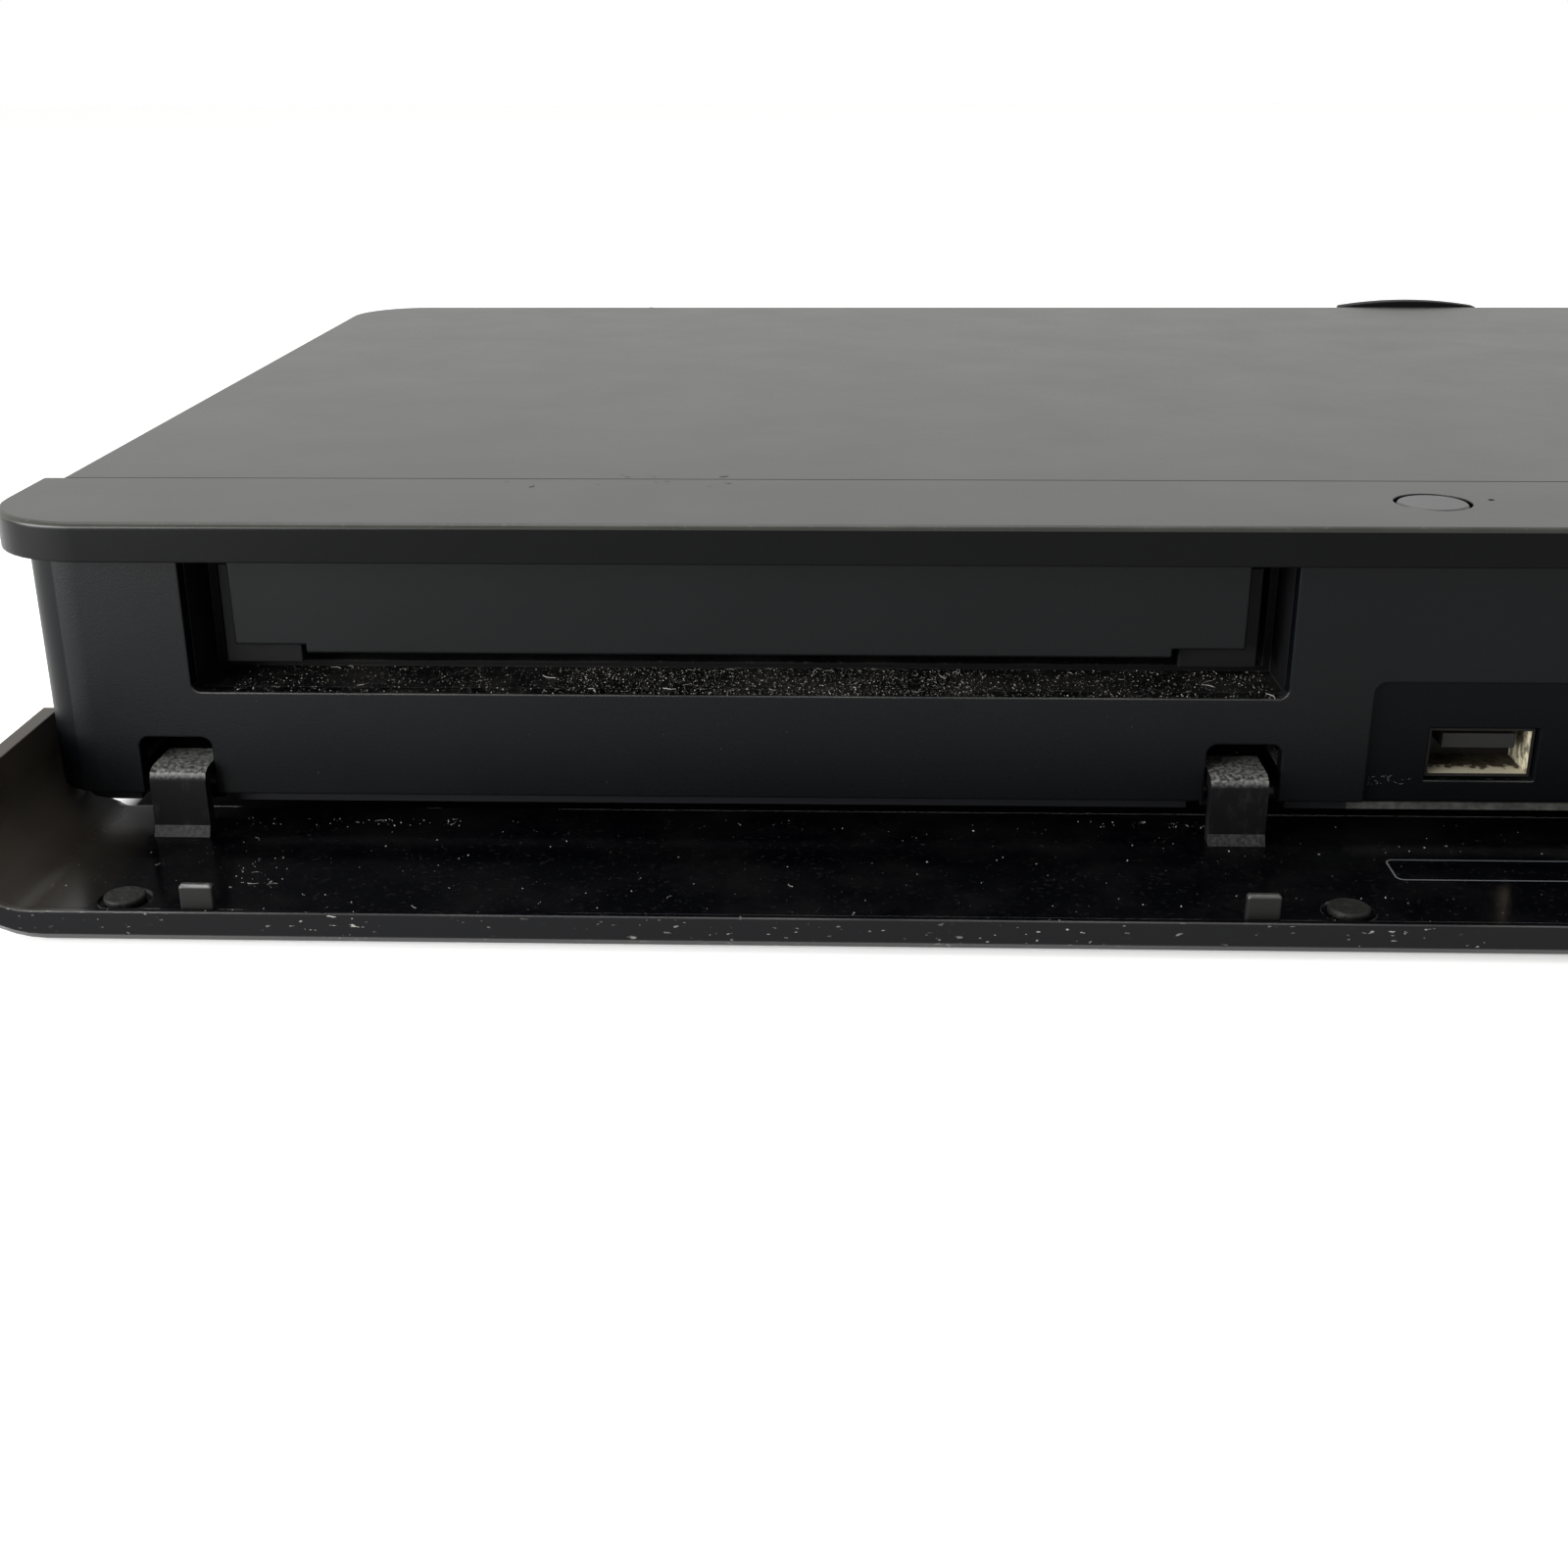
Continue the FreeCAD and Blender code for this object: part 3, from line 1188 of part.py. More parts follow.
def screws():
    """Heads on the cover's sides and rear lip, and hexagonal screws in the corners of the boards."""
    shapes = []
    for y in (side_screw_inset, cover_back - side_screw_inset):
        shapes += [cyl(screw_head_radius, screw_head, x, y, side_screw_z, V(1, 0, 0))
                   for x in (-cover_half - screw_head, cover_half)]
    shapes += [cyl(lip_screw_radius, screw_head, x, cover_back, case_height - rear_lip / 2 - 0.6, V(0, 1, 0))
               for x in (-rear_tab_x, lip_screw_x, rear_tab_x)]
    top = board_z + board_thick
    for left, right in ((main_left, main_right), (power_left, power_right)):
        for x, y in board(left, right)[1]:
            head = hexagon(board_screw_head, screw_head, x, y, top)
            shank = hexagon(board_screw, board_screw_length, x, y, top - board_screw_length)
            shapes.append(fuse([head, shank]))
    return group(shapes)


PIECES = (bottom_chassis, top_cover, top_fascia, front_panel, tray_bay, front_flap, hinge_arms,
          hinge_brackets, hinge_pins, flap_pads, flap_tabs, open_close_button, power_button, button_boards,
          tray_bezel, disc_tray, drive_chassis, gear_pair, idler_pulley, motor_pulley, drive_belt,
          loading_motor, traverse_frame, grommets, guide_rods, spindle_motor, turntable,
          optical_sled, objective_lens, lead_screw, sled_motor, drive_cover, clamper_bridge, clamper,
          front_board, infrared_sensor, usb_port, usb_tongue, card_socket,
          hard_drive, drive_bracket, stand_offs, main_board, heat_sink, power_board,
          transformer, capacitors, rear_panel, tuner_module, coax_connectors, hdmi_port, lan_port,
          audio_sockets, mains_inlet, inlet_pins, fan_frame, fan_rotor, fan_cowl, feet, screws)


def main():
    os.makedirs("parts", exist_ok=True)
    for piece in PIECES:
        save(piece.__name__, piece())


main()
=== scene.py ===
import json
import math

import bmesh
import bpy
from mathutils import Matrix, Vector


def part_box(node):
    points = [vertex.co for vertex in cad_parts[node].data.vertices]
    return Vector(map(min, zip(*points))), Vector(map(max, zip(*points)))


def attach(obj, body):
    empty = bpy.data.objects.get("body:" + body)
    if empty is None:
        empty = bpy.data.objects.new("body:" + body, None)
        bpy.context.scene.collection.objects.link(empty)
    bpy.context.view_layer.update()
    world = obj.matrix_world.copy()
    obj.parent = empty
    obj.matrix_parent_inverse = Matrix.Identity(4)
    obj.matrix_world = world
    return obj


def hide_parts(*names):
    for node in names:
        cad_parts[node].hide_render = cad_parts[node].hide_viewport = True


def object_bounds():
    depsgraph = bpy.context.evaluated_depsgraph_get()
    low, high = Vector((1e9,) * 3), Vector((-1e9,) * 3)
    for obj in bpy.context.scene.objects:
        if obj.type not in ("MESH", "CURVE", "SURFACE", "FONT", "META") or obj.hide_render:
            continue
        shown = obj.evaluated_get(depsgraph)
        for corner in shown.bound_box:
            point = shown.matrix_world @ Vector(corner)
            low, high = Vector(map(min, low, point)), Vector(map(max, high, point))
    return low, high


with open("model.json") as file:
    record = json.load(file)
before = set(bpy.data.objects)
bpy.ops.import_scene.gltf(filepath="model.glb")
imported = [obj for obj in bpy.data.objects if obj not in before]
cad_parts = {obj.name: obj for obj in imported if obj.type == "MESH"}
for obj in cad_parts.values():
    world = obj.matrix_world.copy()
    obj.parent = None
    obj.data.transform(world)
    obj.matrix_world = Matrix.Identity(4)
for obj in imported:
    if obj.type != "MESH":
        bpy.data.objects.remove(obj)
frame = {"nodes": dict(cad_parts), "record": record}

CAD_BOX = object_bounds()
MM = 0.001
RECORD = frame["record"]
BODY_OF = {node: body for body, nodes in RECORD["behaviour"]["bodies"].items() for node in nodes}
SLOT_OF = {row["node"]: row["material_slot"] for row in RECORD["subparts"]}

# Places read from the frame, in metres
PANEL_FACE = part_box("front_panel")[0].y
PANEL_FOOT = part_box("front_panel")[0].z
FLAP_LOW, FLAP_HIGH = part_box("front_flap")
FLAP_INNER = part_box("flap_tabs")[0].z
FASCIA_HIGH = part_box("top_fascia")[1]
COVER_LOW, COVER_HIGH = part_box("top_cover")
BAY_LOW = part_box("tray_bay")[0]
BUTTON_LOW, BUTTON_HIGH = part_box("open_close_button")
AUDIO_LOW, AUDIO_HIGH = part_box("audio_sockets")
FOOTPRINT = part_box("bottom_chassis")

# Camera, fitted to the edges in the photograph
CAMERA_X = -0.1065
CAMERA_FROM_PANEL = 0.2291
CAMERA_ABOVE_PANEL_FOOT = 0.0917
CAMERA_YAW = math.radians(-2.0)
CAMERA_PITCH = math.radians(21.39)
CAMERA_ROLL = math.radians(0.27)
CAMERA_LENS = 43.65
SENSOR_WIDTH = 36.0
NEAREST_SEEN = 0.01


def make_camera():
    yaw, pitch, roll = CAMERA_YAW, CAMERA_PITCH, CAMERA_ROLL
    ahead = Vector((math.sin(yaw) * math.cos(pitch), math.cos(yaw) * math.cos(pitch), -math.sin(pitch)))
    level = Vector((math.cos(yaw), -math.sin(yaw), 0.0))
    below = ahead.cross(level)
    right = level * math.cos(roll) + below * math.sin(roll)
    up = right.cross(ahead)
    place = Vector((CAMERA_X, PANEL_FACE - CAMERA_FROM_PANEL, PANEL_FOOT + CAMERA_ABOVE_PANEL_FOOT))
    data = bpy.data.cameras.new("camera")
    data.lens = CAMERA_LENS
    data.sensor_width = SENSOR_WIDTH
    data.clip_start = NEAREST_SEEN
    camera = bpy.data.objects.new("camera", data)
    bpy.context.scene.collection.objects.link(camera)
    turn = Matrix((right, up, -ahead)).transposed()
    camera.matrix_world = Matrix.Translation(place) @ turn.to_4x4()
    bpy.context.scene.camera = camera


# Node building blocks, shared by the finishes, the floor and the daylight
def feed(tree, value, socket):
    """Gives a socket a plain value or another node's output."""
    if isinstance(value, bpy.types.NodeSocket):
        tree.links.new(value, socket)
    else:
        socket.default_value = value


def maths(tree, operation, a, b=0.0, clamp=False):
    node = tree.nodes.new("ShaderNodeMath")
    node.operation = operation
    node.use_clamp = clamp
    feed(tree, a, node.inputs[0])
    feed(tree, b, node.inputs[1])
    return node.outputs["Value"]


def span(tree, value, low, high, new_low, new_high):
    """Maps one range of values to another and holds it at the ends."""
    node = tree.nodes.new("ShaderNodeMapRange")
    for name, number in (("From Min", low), ("From Max", high), ("To Min", new_low), ("To Max", new_high)):
        node.inputs[name].default_value = number
    feed(tree, value, node.inputs["Value"])
    return node.outputs["Result"]


def mix(tree, factor, a, b):
    """Colour a where the factor is 0 and b where it is 1. A colour is a triple or an output."""
    node = tree.nodes.new("ShaderNodeMix")
    node.data_type = "RGBA"
    colours = [socket for socket in node.inputs if socket.type == "RGBA"]
    for socket, value in zip(colours, (a, b)):
        feed(tree, (*value, 1.0) if isinstance(value, tuple) else value, socket)
    feed(tree, factor, node.inputs[0])
    return [socket for socket in node.outputs if socket.type == "RGBA"][0]


def component(tree, vector, axis):
    split = tree.nodes.new("ShaderNodeSeparateXYZ")
    feed(tree, vector, split.inputs["Vector"])
    return split.outputs[axis]


class Recipe:
    """One Principled material, with short calls for the nodes that it needs."""

    def __init__(self, name):
        self.material = bpy.data.materials.new(name)
        self.material.use_nodes = True
        self.tree = self.material.node_tree
        self.shader = self.tree.nodes["Principled BSDF"]
        place = self.tree.nodes.new("ShaderNodeTexCoord")
        self.coords = place.outputs["Object"]
        self.normal = place.outputs["Normal"]
        self.soft = None

    def set(self, **values):
        for key, value in values.items():
            self.shader.inputs[key.replace("_", " ")].default_value = value
        return self

    def link(self, output, socket):
        self.tree.links.new(output, self.shader.inputs[socket])
        return self

    def noise(self, scale, detail=3.0, rough=0.5, stretch=(1.0, 1.0, 1.0)):
        mapping = self.tree.nodes.new("ShaderNodeMapping")
        mapping.inputs["Scale"].default_value = stretch
        self.tree.links.new(self.coords, mapping.inputs["Vector"])
        node = self.tree.nodes.new("ShaderNodeTexNoise")
        node.inputs["Scale"].default_value = scale
        node.inputs["Detail"].default_value = detail
        node.inputs["Roughness"].default_value = rough
        self.tree.links.new(mapping.outputs["Vector"], node.inputs["Vector"])
        return node.outputs["Fac"]

    def net(self, scale):
        """Distance to the nearest line of an irregular net."""
        node = self.tree.nodes.new("ShaderNodeTexVoronoi")
        node.feature = "DISTANCE_TO_EDGE"
        node.inputs["Scale"].default_value = scale
        self.tree.links.new(self.coords, node.inputs["Vector"])
        return node.outputs["Distance"]

    def span(self, value, low, high, new_low, new_high):
        return span(self.tree, value, low, high, new_low, new_high)

    def rise(self, value, low, high):
        """0 up to one value, 1 from another."""
        return self.span(value, low, high, 0.0, 1.0)

    def fall(self, value, low, high):
        """1 up to one value, 0 from another."""
        return self.span(value, low, high, 1.0, 0.0)

    def both(self, a, b):
        return maths(self.tree, "MULTIPLY", a, b, clamp=True)

    def either(self, a, b):
        return maths(self.tree, "MAXIMUM", a, b, clamp=True)

    def plus(self, a, b):
        return maths(self.tree, "ADD", a, b, clamp=True)

    def mix(self, factor, a, b):
        return mix(self.tree, factor, a, b)

    def bump(self, height, strength, distance):
        node = self.tree.nodes.new("ShaderNodeBump")
        node.inputs["Strength"].default_value = strength
        node.inputs["Distance"].default_value = distance
        self.tree.links.new(height, node.inputs["Height"])
        if self.soft:
            self.tree.links.new(self.soft, node.inputs["Normal"])
        return self.link(node.outputs["Normal"], "Normal")

    def soften_edges(self, radius):
        """Rounds the sharp edges in the shading, for the highlights and for what follows the normal."""
        bevel = self.tree.nodes.new("ShaderNodeBevel")
        bevel.samples = 4
        bevel.inputs["Radius"].default_value = radius
        turn = self.tree.nodes.new("ShaderNodeVectorTransform")
        turn.vector_type = "NORMAL"
        turn.convert_from = "WORLD"
        turn.convert_to = "OBJECT"
        self.tree.links.new(bevel.outputs["Normal"], turn.inputs[0])
        self.soft = bevel.outputs["Normal"]
        self.normal = turn.outputs[0]

    def place(self, axis):
        return component(self.tree, self.coords, axis)

    def facing(self, axis):
        """One component of the piece's own surface direction."""
        return component(self.tree, self.normal, axis)

    def facing_front(self):
        """1 on surfaces that look to the front."""
        return self.fall(self.facing("Y"), -0.9, -0.5)

    def facing_middle(self):
        """Above 0 on surfaces that look towards X = 0."""
        side = self.span(self.place("X"), -1.0 * MM, 1.0 * MM, 1.0, -1.0)
        return maths(self.tree, "MULTIPLY", side, self.facing("X"))

    def slanted(self):
        """1 on surfaces that lean, such as bevels and bends, 0 on level and upright ones."""
        up = self.facing("Z")
        return self.both(self.rise(up, 0.22, 0.45), self.fall(up, 0.82, 0.96))

    def away_from_middle(self, start, end):
        """0 up to one distance from X = 0 on either side, rising to 1 at another."""
        return self.rise(maths(self.tree, "ABSOLUTE", self.place("X")), start, end)


# Colours
SATIN_BLACK = (0.0100, 0.0106, 0.0066)
PANEL_BLACK = (0.0013, 0.0016, 0.0022)
# Front of the strip above the panel, darker than its upper side: painted shade
STRIP_FRONT_SHADED_BLACK = (0.0012, 0.0013, 0.0016)
FLAP_BLACK = (0.0008, 0.0009, 0.0016)
BEZEL_BLACK = (0.0026, 0.0031, 0.0034)
# Dark colour of the chassis fold under the panel: painted shade
FOLD_PAINTED_SHADE = (0.0030, 0.0033, 0.0048)
ARM_BLACK = (0.0034, 0.0034, 0.0038)
ARM_SCUFF = (0.016, 0.016, 0.0155)
# Grey on the hinge arms' bend: partly dust, partly painted light
ARM_DUST_AND_PAINTED_LIGHT = (0.21, 0.21, 0.20)
# Pale grey for the thin lines of painted highlight on upper front edges
PAINTED_EDGE_HIGHLIGHT = (0.10, 0.10, 0.095)
SETTLED_DUST = (0.16, 0.15, 0.135)
# Brownish film on the flap's ends: partly a stain, partly painted light on the inward-looking end walls
BROWN_FILM_AND_PAINTED_LIGHT = (0.046, 0.038, 0.029)
PALE_FLECK = (0.26, 0.25, 0.23)
ZINC = (0.36, 0.365, 0.37)
CLOUDED_ZINC = (0.29, 0.29, 0.30)
# Greys of the middle of that fold, part of the painted shade
FOLD_SHADE_DARKER = (0.030, 0.031, 0.030)
FOLD_SHADE_LIGHTER = (0.070, 0.070, 0.062)
SOCKET_YELLOW = (0.62, 0.47, 0.03)
SOCKET_WHITE = (0.70, 0.69, 0.66)
SOCKET_RED = (0.50, 0.02, 0.02)


def varied_shade(r, colour, varied):
    """Cloudy swing of a colour about its middle."""
    low = tuple(c * (1.0 - varied) for c in colour)
    high = tuple(c * (1.0 + varied) for c in colour)
    return r.mix(r.rise(r.noise(35.0, 4.0, 0.6), 0.3, 0.7), low, high)


def settle_dust(r, shade, sheen, amount, lowest_up):
    """Specks and drifts of dust on what looks up by more than lowest_up."""
    specks = r.rise(r.noise(1400.0, 2.0), 0.60, 0.72)
    drift = r.span(r.noise(90.0, 5.0, 0.65), 0.42, 0.75, 0.0, 0.6)
    settled = r.both(r.either(specks, drift), r.span(r.facing("Z"), lowest_up, 0.95, 0.0, amount))
    return r.mix(settled, shade, SETTLED_DUST), r.plus(sheen, r.both(settled, 0.35))


def film_and_painted_light_on_ends(r, shade, sheen, ends):
    """Thin brownish film towards both ends, only on what looks up or inwards; on the inward-looking end
    walls it also stands in for light that the lamps don't give, so it is partly a stain and partly painted
    light.
    """
    patchy = r.span(r.noise(90.0, 3.0, 0.5), 0.3, 0.7, 0.75, 1.0)
    inner = r.rise(r.either(r.facing("Z"), r.facing_middle()), 0.05, 0.3)
    film = r.both(r.both(r.away_from_middle(*ends), patchy), inner)
    return r.mix(film, shade, BROWN_FILM_AND_PAINTED_LIGHT), r.plus(sheen, r.both(film, 0.25))


def paint_edge_highlights(r, shade):
    """Painted highlight: thin grey lines on upper front edges, where lamps would put a bright line."""
    painted_highlight = r.both(r.slanted(), r.fall(r.facing("Y"), -0.5, -0.2))
    painted_highlight = r.both(painted_highlight, r.span(r.noise(45.0, 2.0), 0.35, 0.65, 0.1, 1.0))
    return r.mix(painted_highlight, shade, PAINTED_EDGE_HIGHLIGHT)


def fleck_front(r, shade):
    """Pale specks on the upright front."""
    bits = r.rise(r.noise(1300.0, 2.0, 0.5, (0.6, 1.0, 1.4)), 0.655, 0.69)
    strewn = r.both(bits, r.rise(r.noise(120.0, 2.0), 0.42, 0.62))
    return r.mix(r.both(strewn, r.facing_front()), shade, PALE_FLECK)


def moulded(name, colour, rough, grain=0.25, grain_scale=3500.0, grain_depth=0.04 * MM, varied=0.15,
            uneven=0.08, gloss=0.5, dust=0.0, dust_from=0.25, ends=None, edge_gloss=None,
            painted_highlight=False, sunk=None, flecks=False):
    """Moulded plastic or fine paint: speckled grain, cloudy sheen and dust that settled on top.

    varied and uneven are how far the colour and the sheen swing. ends is a start and an end of X,
    between which a film sets in that is partly a stain and partly painted light. edge_gloss is the
    gloss of edges and bends, which handling has polished. Upper front edges can get thin lines of
    painted highlight. Behind the Y of sunk the gloss is halved."""
    r = Recipe(name)
    if edge_gloss:
        r.soften_edges(0.35 * MM)
    shade = varied_shade(r, colour, varied)
    sheen = r.span(r.noise(60.0), 0.3, 0.7, rough * (1.0 - uneven), min(1.0, rough * (1.0 + uneven)))
    if dust:
        shade, sheen = settle_dust(r, shade, sheen, dust, dust_from)
    # Brownish film towards the ends, partly a stain and partly painted light
    if ends:
        shade, sheen = film_and_painted_light_on_ends(r, shade, sheen, ends)
    # Thin grey lines on upper front edges: a painted highlight
    if painted_highlight:
        shade = paint_edge_highlights(r, shade)
    if flecks:
        shade = fleck_front(r, shade)
    r.link(shade, "Base Color").link(sheen, "Roughness")
    r.set(IOR=1.5, Specular_IOR_Level=gloss)
    if edge_gloss:
        shine = r.span(r.slanted(), 0.0, 1.0, gloss, edge_gloss)
        if sunk:
            shine = r.both(shine, r.span(r.place("Y"), sunk - 0.05 * MM, sunk + 0.05 * MM, 1.0, 0.5))
        r.link(shine, "Specular IOR Level")
    if grain:
        r.bump(r.noise(grain_scale, 2.0, 0.6), grain, grain_depth)
    return r.material


def metal(name, colour, rough, brushed=True, varied=0.1):
    """Plated or brushed metal with fine lines and a cloudy tarnish."""
    r = Recipe(name)
    cloud = r.rise(r.noise(50.0, 4.0, 0.6), 0.3, 0.7)
    low = tuple(c * (1.0 - varied) for c in colour)
    r.link(r.mix(cloud, low, colour), "Base Color").set(Metallic=1.0)
    lines = r.noise(900.0, 2.0, 0.5, (1.0, 12.0, 12.0) if brushed else (1.0, 1.0, 1.0))
    r.link(r.span(lines, 0.3, 0.7, rough * 0.8, min(1.0, rough * 1.25)), "Roughness")
    return r.bump(lines, 0.12, 0.03 * MM).material


# Finishes that only one piece or slot has
def board_lacquer():
    """Green lacquered board with a faint net of copper tracks under the lacquer."""
    r = Recipe("green_board_lacquer")
    tracks = r.fall(r.net(420.0), 0.02, 0.06)
    r.link(r.mix(tracks, (0.012, 0.075, 0.030), (0.035, 0.16, 0.06)), "Base Color").set(Roughness=0.32)
    return r.bump(tracks, 0.3, 0.05 * MM).material


def lens_glass():
    """Clear lens with a blue to violet coating."""
    r = Recipe("lens_glass")
    coating = r.rise(r.noise(60.0), 0.3, 0.7)
    r.link(r.mix(coating, (0.55, 0.62, 0.80), (0.75, 0.66, 0.85)), "Base Color")
    return r.set(Roughness=0.04, IOR=1.6, Transmission_Weight=0.8).material


def port_shell_painted_light_and_shade():
    """Tin plate coloured dark as painted shade inside the port, with ragged beige painted light on its floor
    near the mouth, partly dust, and on the wall that looks left, and a darker front rim, also painted shade.
    """
    r = Recipe("port_shell_painted_light_and_shade")
    ragged = r.noise(900.0, 4.0, 0.6)
    # Dark brown tin plate inside the port: painted shade
    shade = r.mix(r.rise(ragged, 0.4, 0.62), (0.070, 0.056, 0.036), (0.016, 0.013, 0.010))
    # Beige floor near the mouth: painted light, partly dust
    near = r.fall(r.place("Y"), PANEL_FACE + 1.8 * MM, PANEL_FACE + 7.0 * MM)
    near = r.plus(near, r.span(ragged, 0.3, 0.7, -0.28, 0.28))
    level = r.both(r.rise(near, 0.50, 0.60), r.rise(r.facing("Z"), 0.5, 0.9))
    shade = r.mix(level, shade, (0.62, 0.57, 0.42))
    # Beige on the wall that looks left, towards the lamps: painted light
    side = r.both(r.fall(r.facing("X"), -0.9, -0.5), r.span(ragged, 0.38, 0.55, 1.0, 0.2))
    shade = r.mix(side, shade, (0.50, 0.46, 0.33))
    # Darker still on the rim that looks to the front: painted shade
    shade = r.mix(r.facing_front(), shade, (0.008, 0.007, 0.006))
    r.link(shade, "Base Color").set(Metallic=0.1, Specular_IOR_Level=0.2)
    r.link(r.span(r.noise(500.0), 0.3, 0.7, 0.45, 0.6), "Roughness")
    return r.bump(ragged, 0.4, 0.06 * MM).material


def hinge_moulding():
    """Arms with a grainy grey film on the upward-looking bend, partly dust and partly painted light for a
    bend that catches light from above, and scuffs on the face.
    """
    r = Recipe("hinge_moulding")
    scuffs = r.span(r.noise(420.0, 5.0, 0.7, (1.0, 1.0, 0.4)), 0.52, 0.72, 0.0, 0.7)
    shade = r.mix(scuffs, ARM_BLACK, ARM_SCUFF)
    bend = r.span(r.place("Z"), FLAP_INNER + 4.0 * MM, FLAP_INNER + 6.0 * MM, 0.12, 1.0)
    grains = r.span(r.noise(2100.0, 2.0), 0.38, 0.68, 0.12, 1.0)
    # Grey on the upward-looking bend: partly dust, partly painted light
    film = r.both(r.both(grains, bend), r.rise(r.facing("Z"), 0.15, 0.6))
    r.link(r.mix(film, shade, ARM_DUST_AND_PAINTED_LIGHT), "Base Color")
    r.link(r.span(film, 0.0, 1.0, 0.40, 0.75), "Roughness")
    r.link(r.span(r.both(r.slanted(), bend), 0.0, 1.0, 0.07, 0.7), "Specular IOR Level")
    return r.bump(r.noise(3000.0, 2.0, 0.6), 0.5, 0.04 * MM).material


def chassis_sheet():
    """Zinc-plated sheet, with the fold under the front coloured dark as painted shade under the panel, and a
    lighter grey in its middle.
    """
    r = Recipe("chassis_sheet")
    zinc = r.mix(r.rise(r.noise(50.0, 4.0, 0.6), 0.3, 0.7), CLOUDED_ZINC, ZINC)
    # Painted shade: the fold under the panel is coloured dark, a lighter grey in its middle
    grey = r.mix(r.rise(r.noise(700.0, 4.0, 0.7), 0.4, 0.65), FOLD_SHADE_DARKER, FOLD_SHADE_LIGHTER)
    paint = r.mix(r.away_from_middle(41.2 * MM, 41.4 * MM), grey, FOLD_PAINTED_SHADE)
    fold = r.fall(r.place("Y"), PANEL_FACE + 5.0 * MM, PANEL_FACE + 5.2 * MM)
    r.link(r.mix(fold, zinc, paint), "Base Color").link(r.fall(fold, 0.0, 1.0), "Metallic")
    r.link(r.span(fold, 0.0, 1.0, 0.34, 0.5), "Roughness")
    r.link(r.span(fold, 0.0, 1.0, 0.5, 0.2), "Specular IOR Level")
    return r.bump(r.noise(900.0), 0.12, 0.03 * MM).material


def shrink_sleeve():
    """Dark shrink sleeve with a bare aluminium top on each can."""
    r = Recipe("capacitor_sleeve")
    top = r.rise(r.facing("Z"), 0.6, 0.9)
    r.link(r.mix(top, (0.016, 0.014, 0.013), (0.62, 0.62, 0.61)), "Base Color")
    r.link(r.both(top, 0.95), "Metallic")
    return r.link(r.span(r.noise(300.0), 0.3, 0.7, 0.28, 0.42), "Roughness").material


def audio_plastic():
    """Ring colours of the three audio sockets, split by their place along the rear."""
    r = Recipe("audio_socket_colours")
    along = r.place("X")
    third = (AUDIO_HIGH.x - AUDIO_LOW.x) / 3.0
    shade = SOCKET_YELLOW
    for step, colour in ((1.0, SOCKET_WHITE), (2.0, SOCKET_RED)):
        beyond = r.rise(along, AUDIO_LOW.x + third * step, AUDIO_LOW.x + third * (step + 0.02))
        shade = r.mix(beyond, shade, colour)
    r.link(shade, "Base Color")
    return r.link(r.span(r.noise(500.0), 0.3, 0.7, 0.32, 0.45), "Roughness").material


def make_finishes():
    """One finish for each material slot of the record."""
    flap_end = FLAP_HIGH.x
    return {
        "case_satin": moulded("satin_black_paint", SATIN_BLACK, 0.36, grain=0.15, grain_scale=5200.0,
                              varied=0.05, uneven=0.03, gloss=0.40, dust=0.20),
        "front_plastic": moulded("textured_front_moulding", PANEL_BLACK, 0.36, grain=0.6, grain_scale=4300.0,
                                 gloss=0.13, dust=0.25, edge_gloss=1.0, painted_highlight=True,
                                 sunk=PANEL_FACE + 0.6 * MM),
        "flap_gloss": moulded("gloss_flap_moulding", FLAP_BLACK, 0.15, grain=0.05, gloss=0.17, dust=0.05,
                              ends=(flap_end - 20.0 * MM, flap_end - 4.0 * MM), edge_gloss=1.0,
                              painted_highlight=True, flecks=True),
        "hinge_plastic": hinge_moulding(),
        "steel": metal("plated_steel", (0.58, 0.57, 0.55), 0.28),
        "rubber_black": moulded("black_rubber", (0.007, 0.007, 0.0066), 0.55, grain=1.0, grain_scale=800.0,
                                grain_depth=0.25 * MM, gloss=0.2, dust=0.12),
        "tab_plastic": moulded("tab_moulding", (0.007, 0.007, 0.0067), 0.5, grain=0.35, gloss=0.15,
                               dust=0.3, edge_gloss=1.0),
        "button_plastic": moulded("button_moulding", (0.022, 0.022, 0.022), 0.36, grain=0.15, dust=0.25),
        "zinc_sheet": metal("zinc_plated_sheet", ZINC, 0.36, brushed=False, varied=0.2),
        "drive_plastic": moulded("drive_moulding", (0.004, 0.004, 0.0045), 0.5, grain=0.3, gloss=0.08,
                                 dust=0.25, dust_from=0.1),
        "bezel_plastic": moulded("tray_front_moulding", BEZEL_BLACK, 0.36, grain=0.40, grain_scale=4300.0,
                                 gloss=0.12, dust=0.2, edge_gloss=0.6),
        "gear_nylon": moulded("white_nylon", (0.72, 0.70, 0.64), 0.42, grain=0.1, varied=0.05),
        "motor_steel": metal("motor_can_steel", (0.66, 0.66, 0.65), 0.24),
        "lens_glass": lens_glass(),
        "board_green": board_lacquer(),
        "port_metal": metal("port_plating", (0.46, 0.44, 0.39), 0.36, brushed=False, varied=0.2),
        "port_insert": moulded("port_insert_plastic", (0.014, 0.014, 0.0135), 0.45, grain=0.2, gloss=0.2),
        "drive_alloy": metal("cast_drive_alloy", (0.55, 0.56, 0.57), 0.42, brushed=False, varied=0.15),
        "wound_core": shrink_sleeve(),
        "socket_plastic": moulded("socket_moulding", (0.018, 0.018, 0.019), 0.45, grain=0.3),
    }


def strip_top_lit_copy():
    """Upper side of the strip above the front: the cover's satin, with a slightly finer grain, a lighter
    copy of the strip's finish that paints light on the faces that look up.
    """
    return moulded("satin_strip_top", SATIN_BLACK, 0.36, grain=0.12, grain_scale=5600.0, varied=0.05,
                   uneven=0.03, gloss=0.40, dust=0.20)


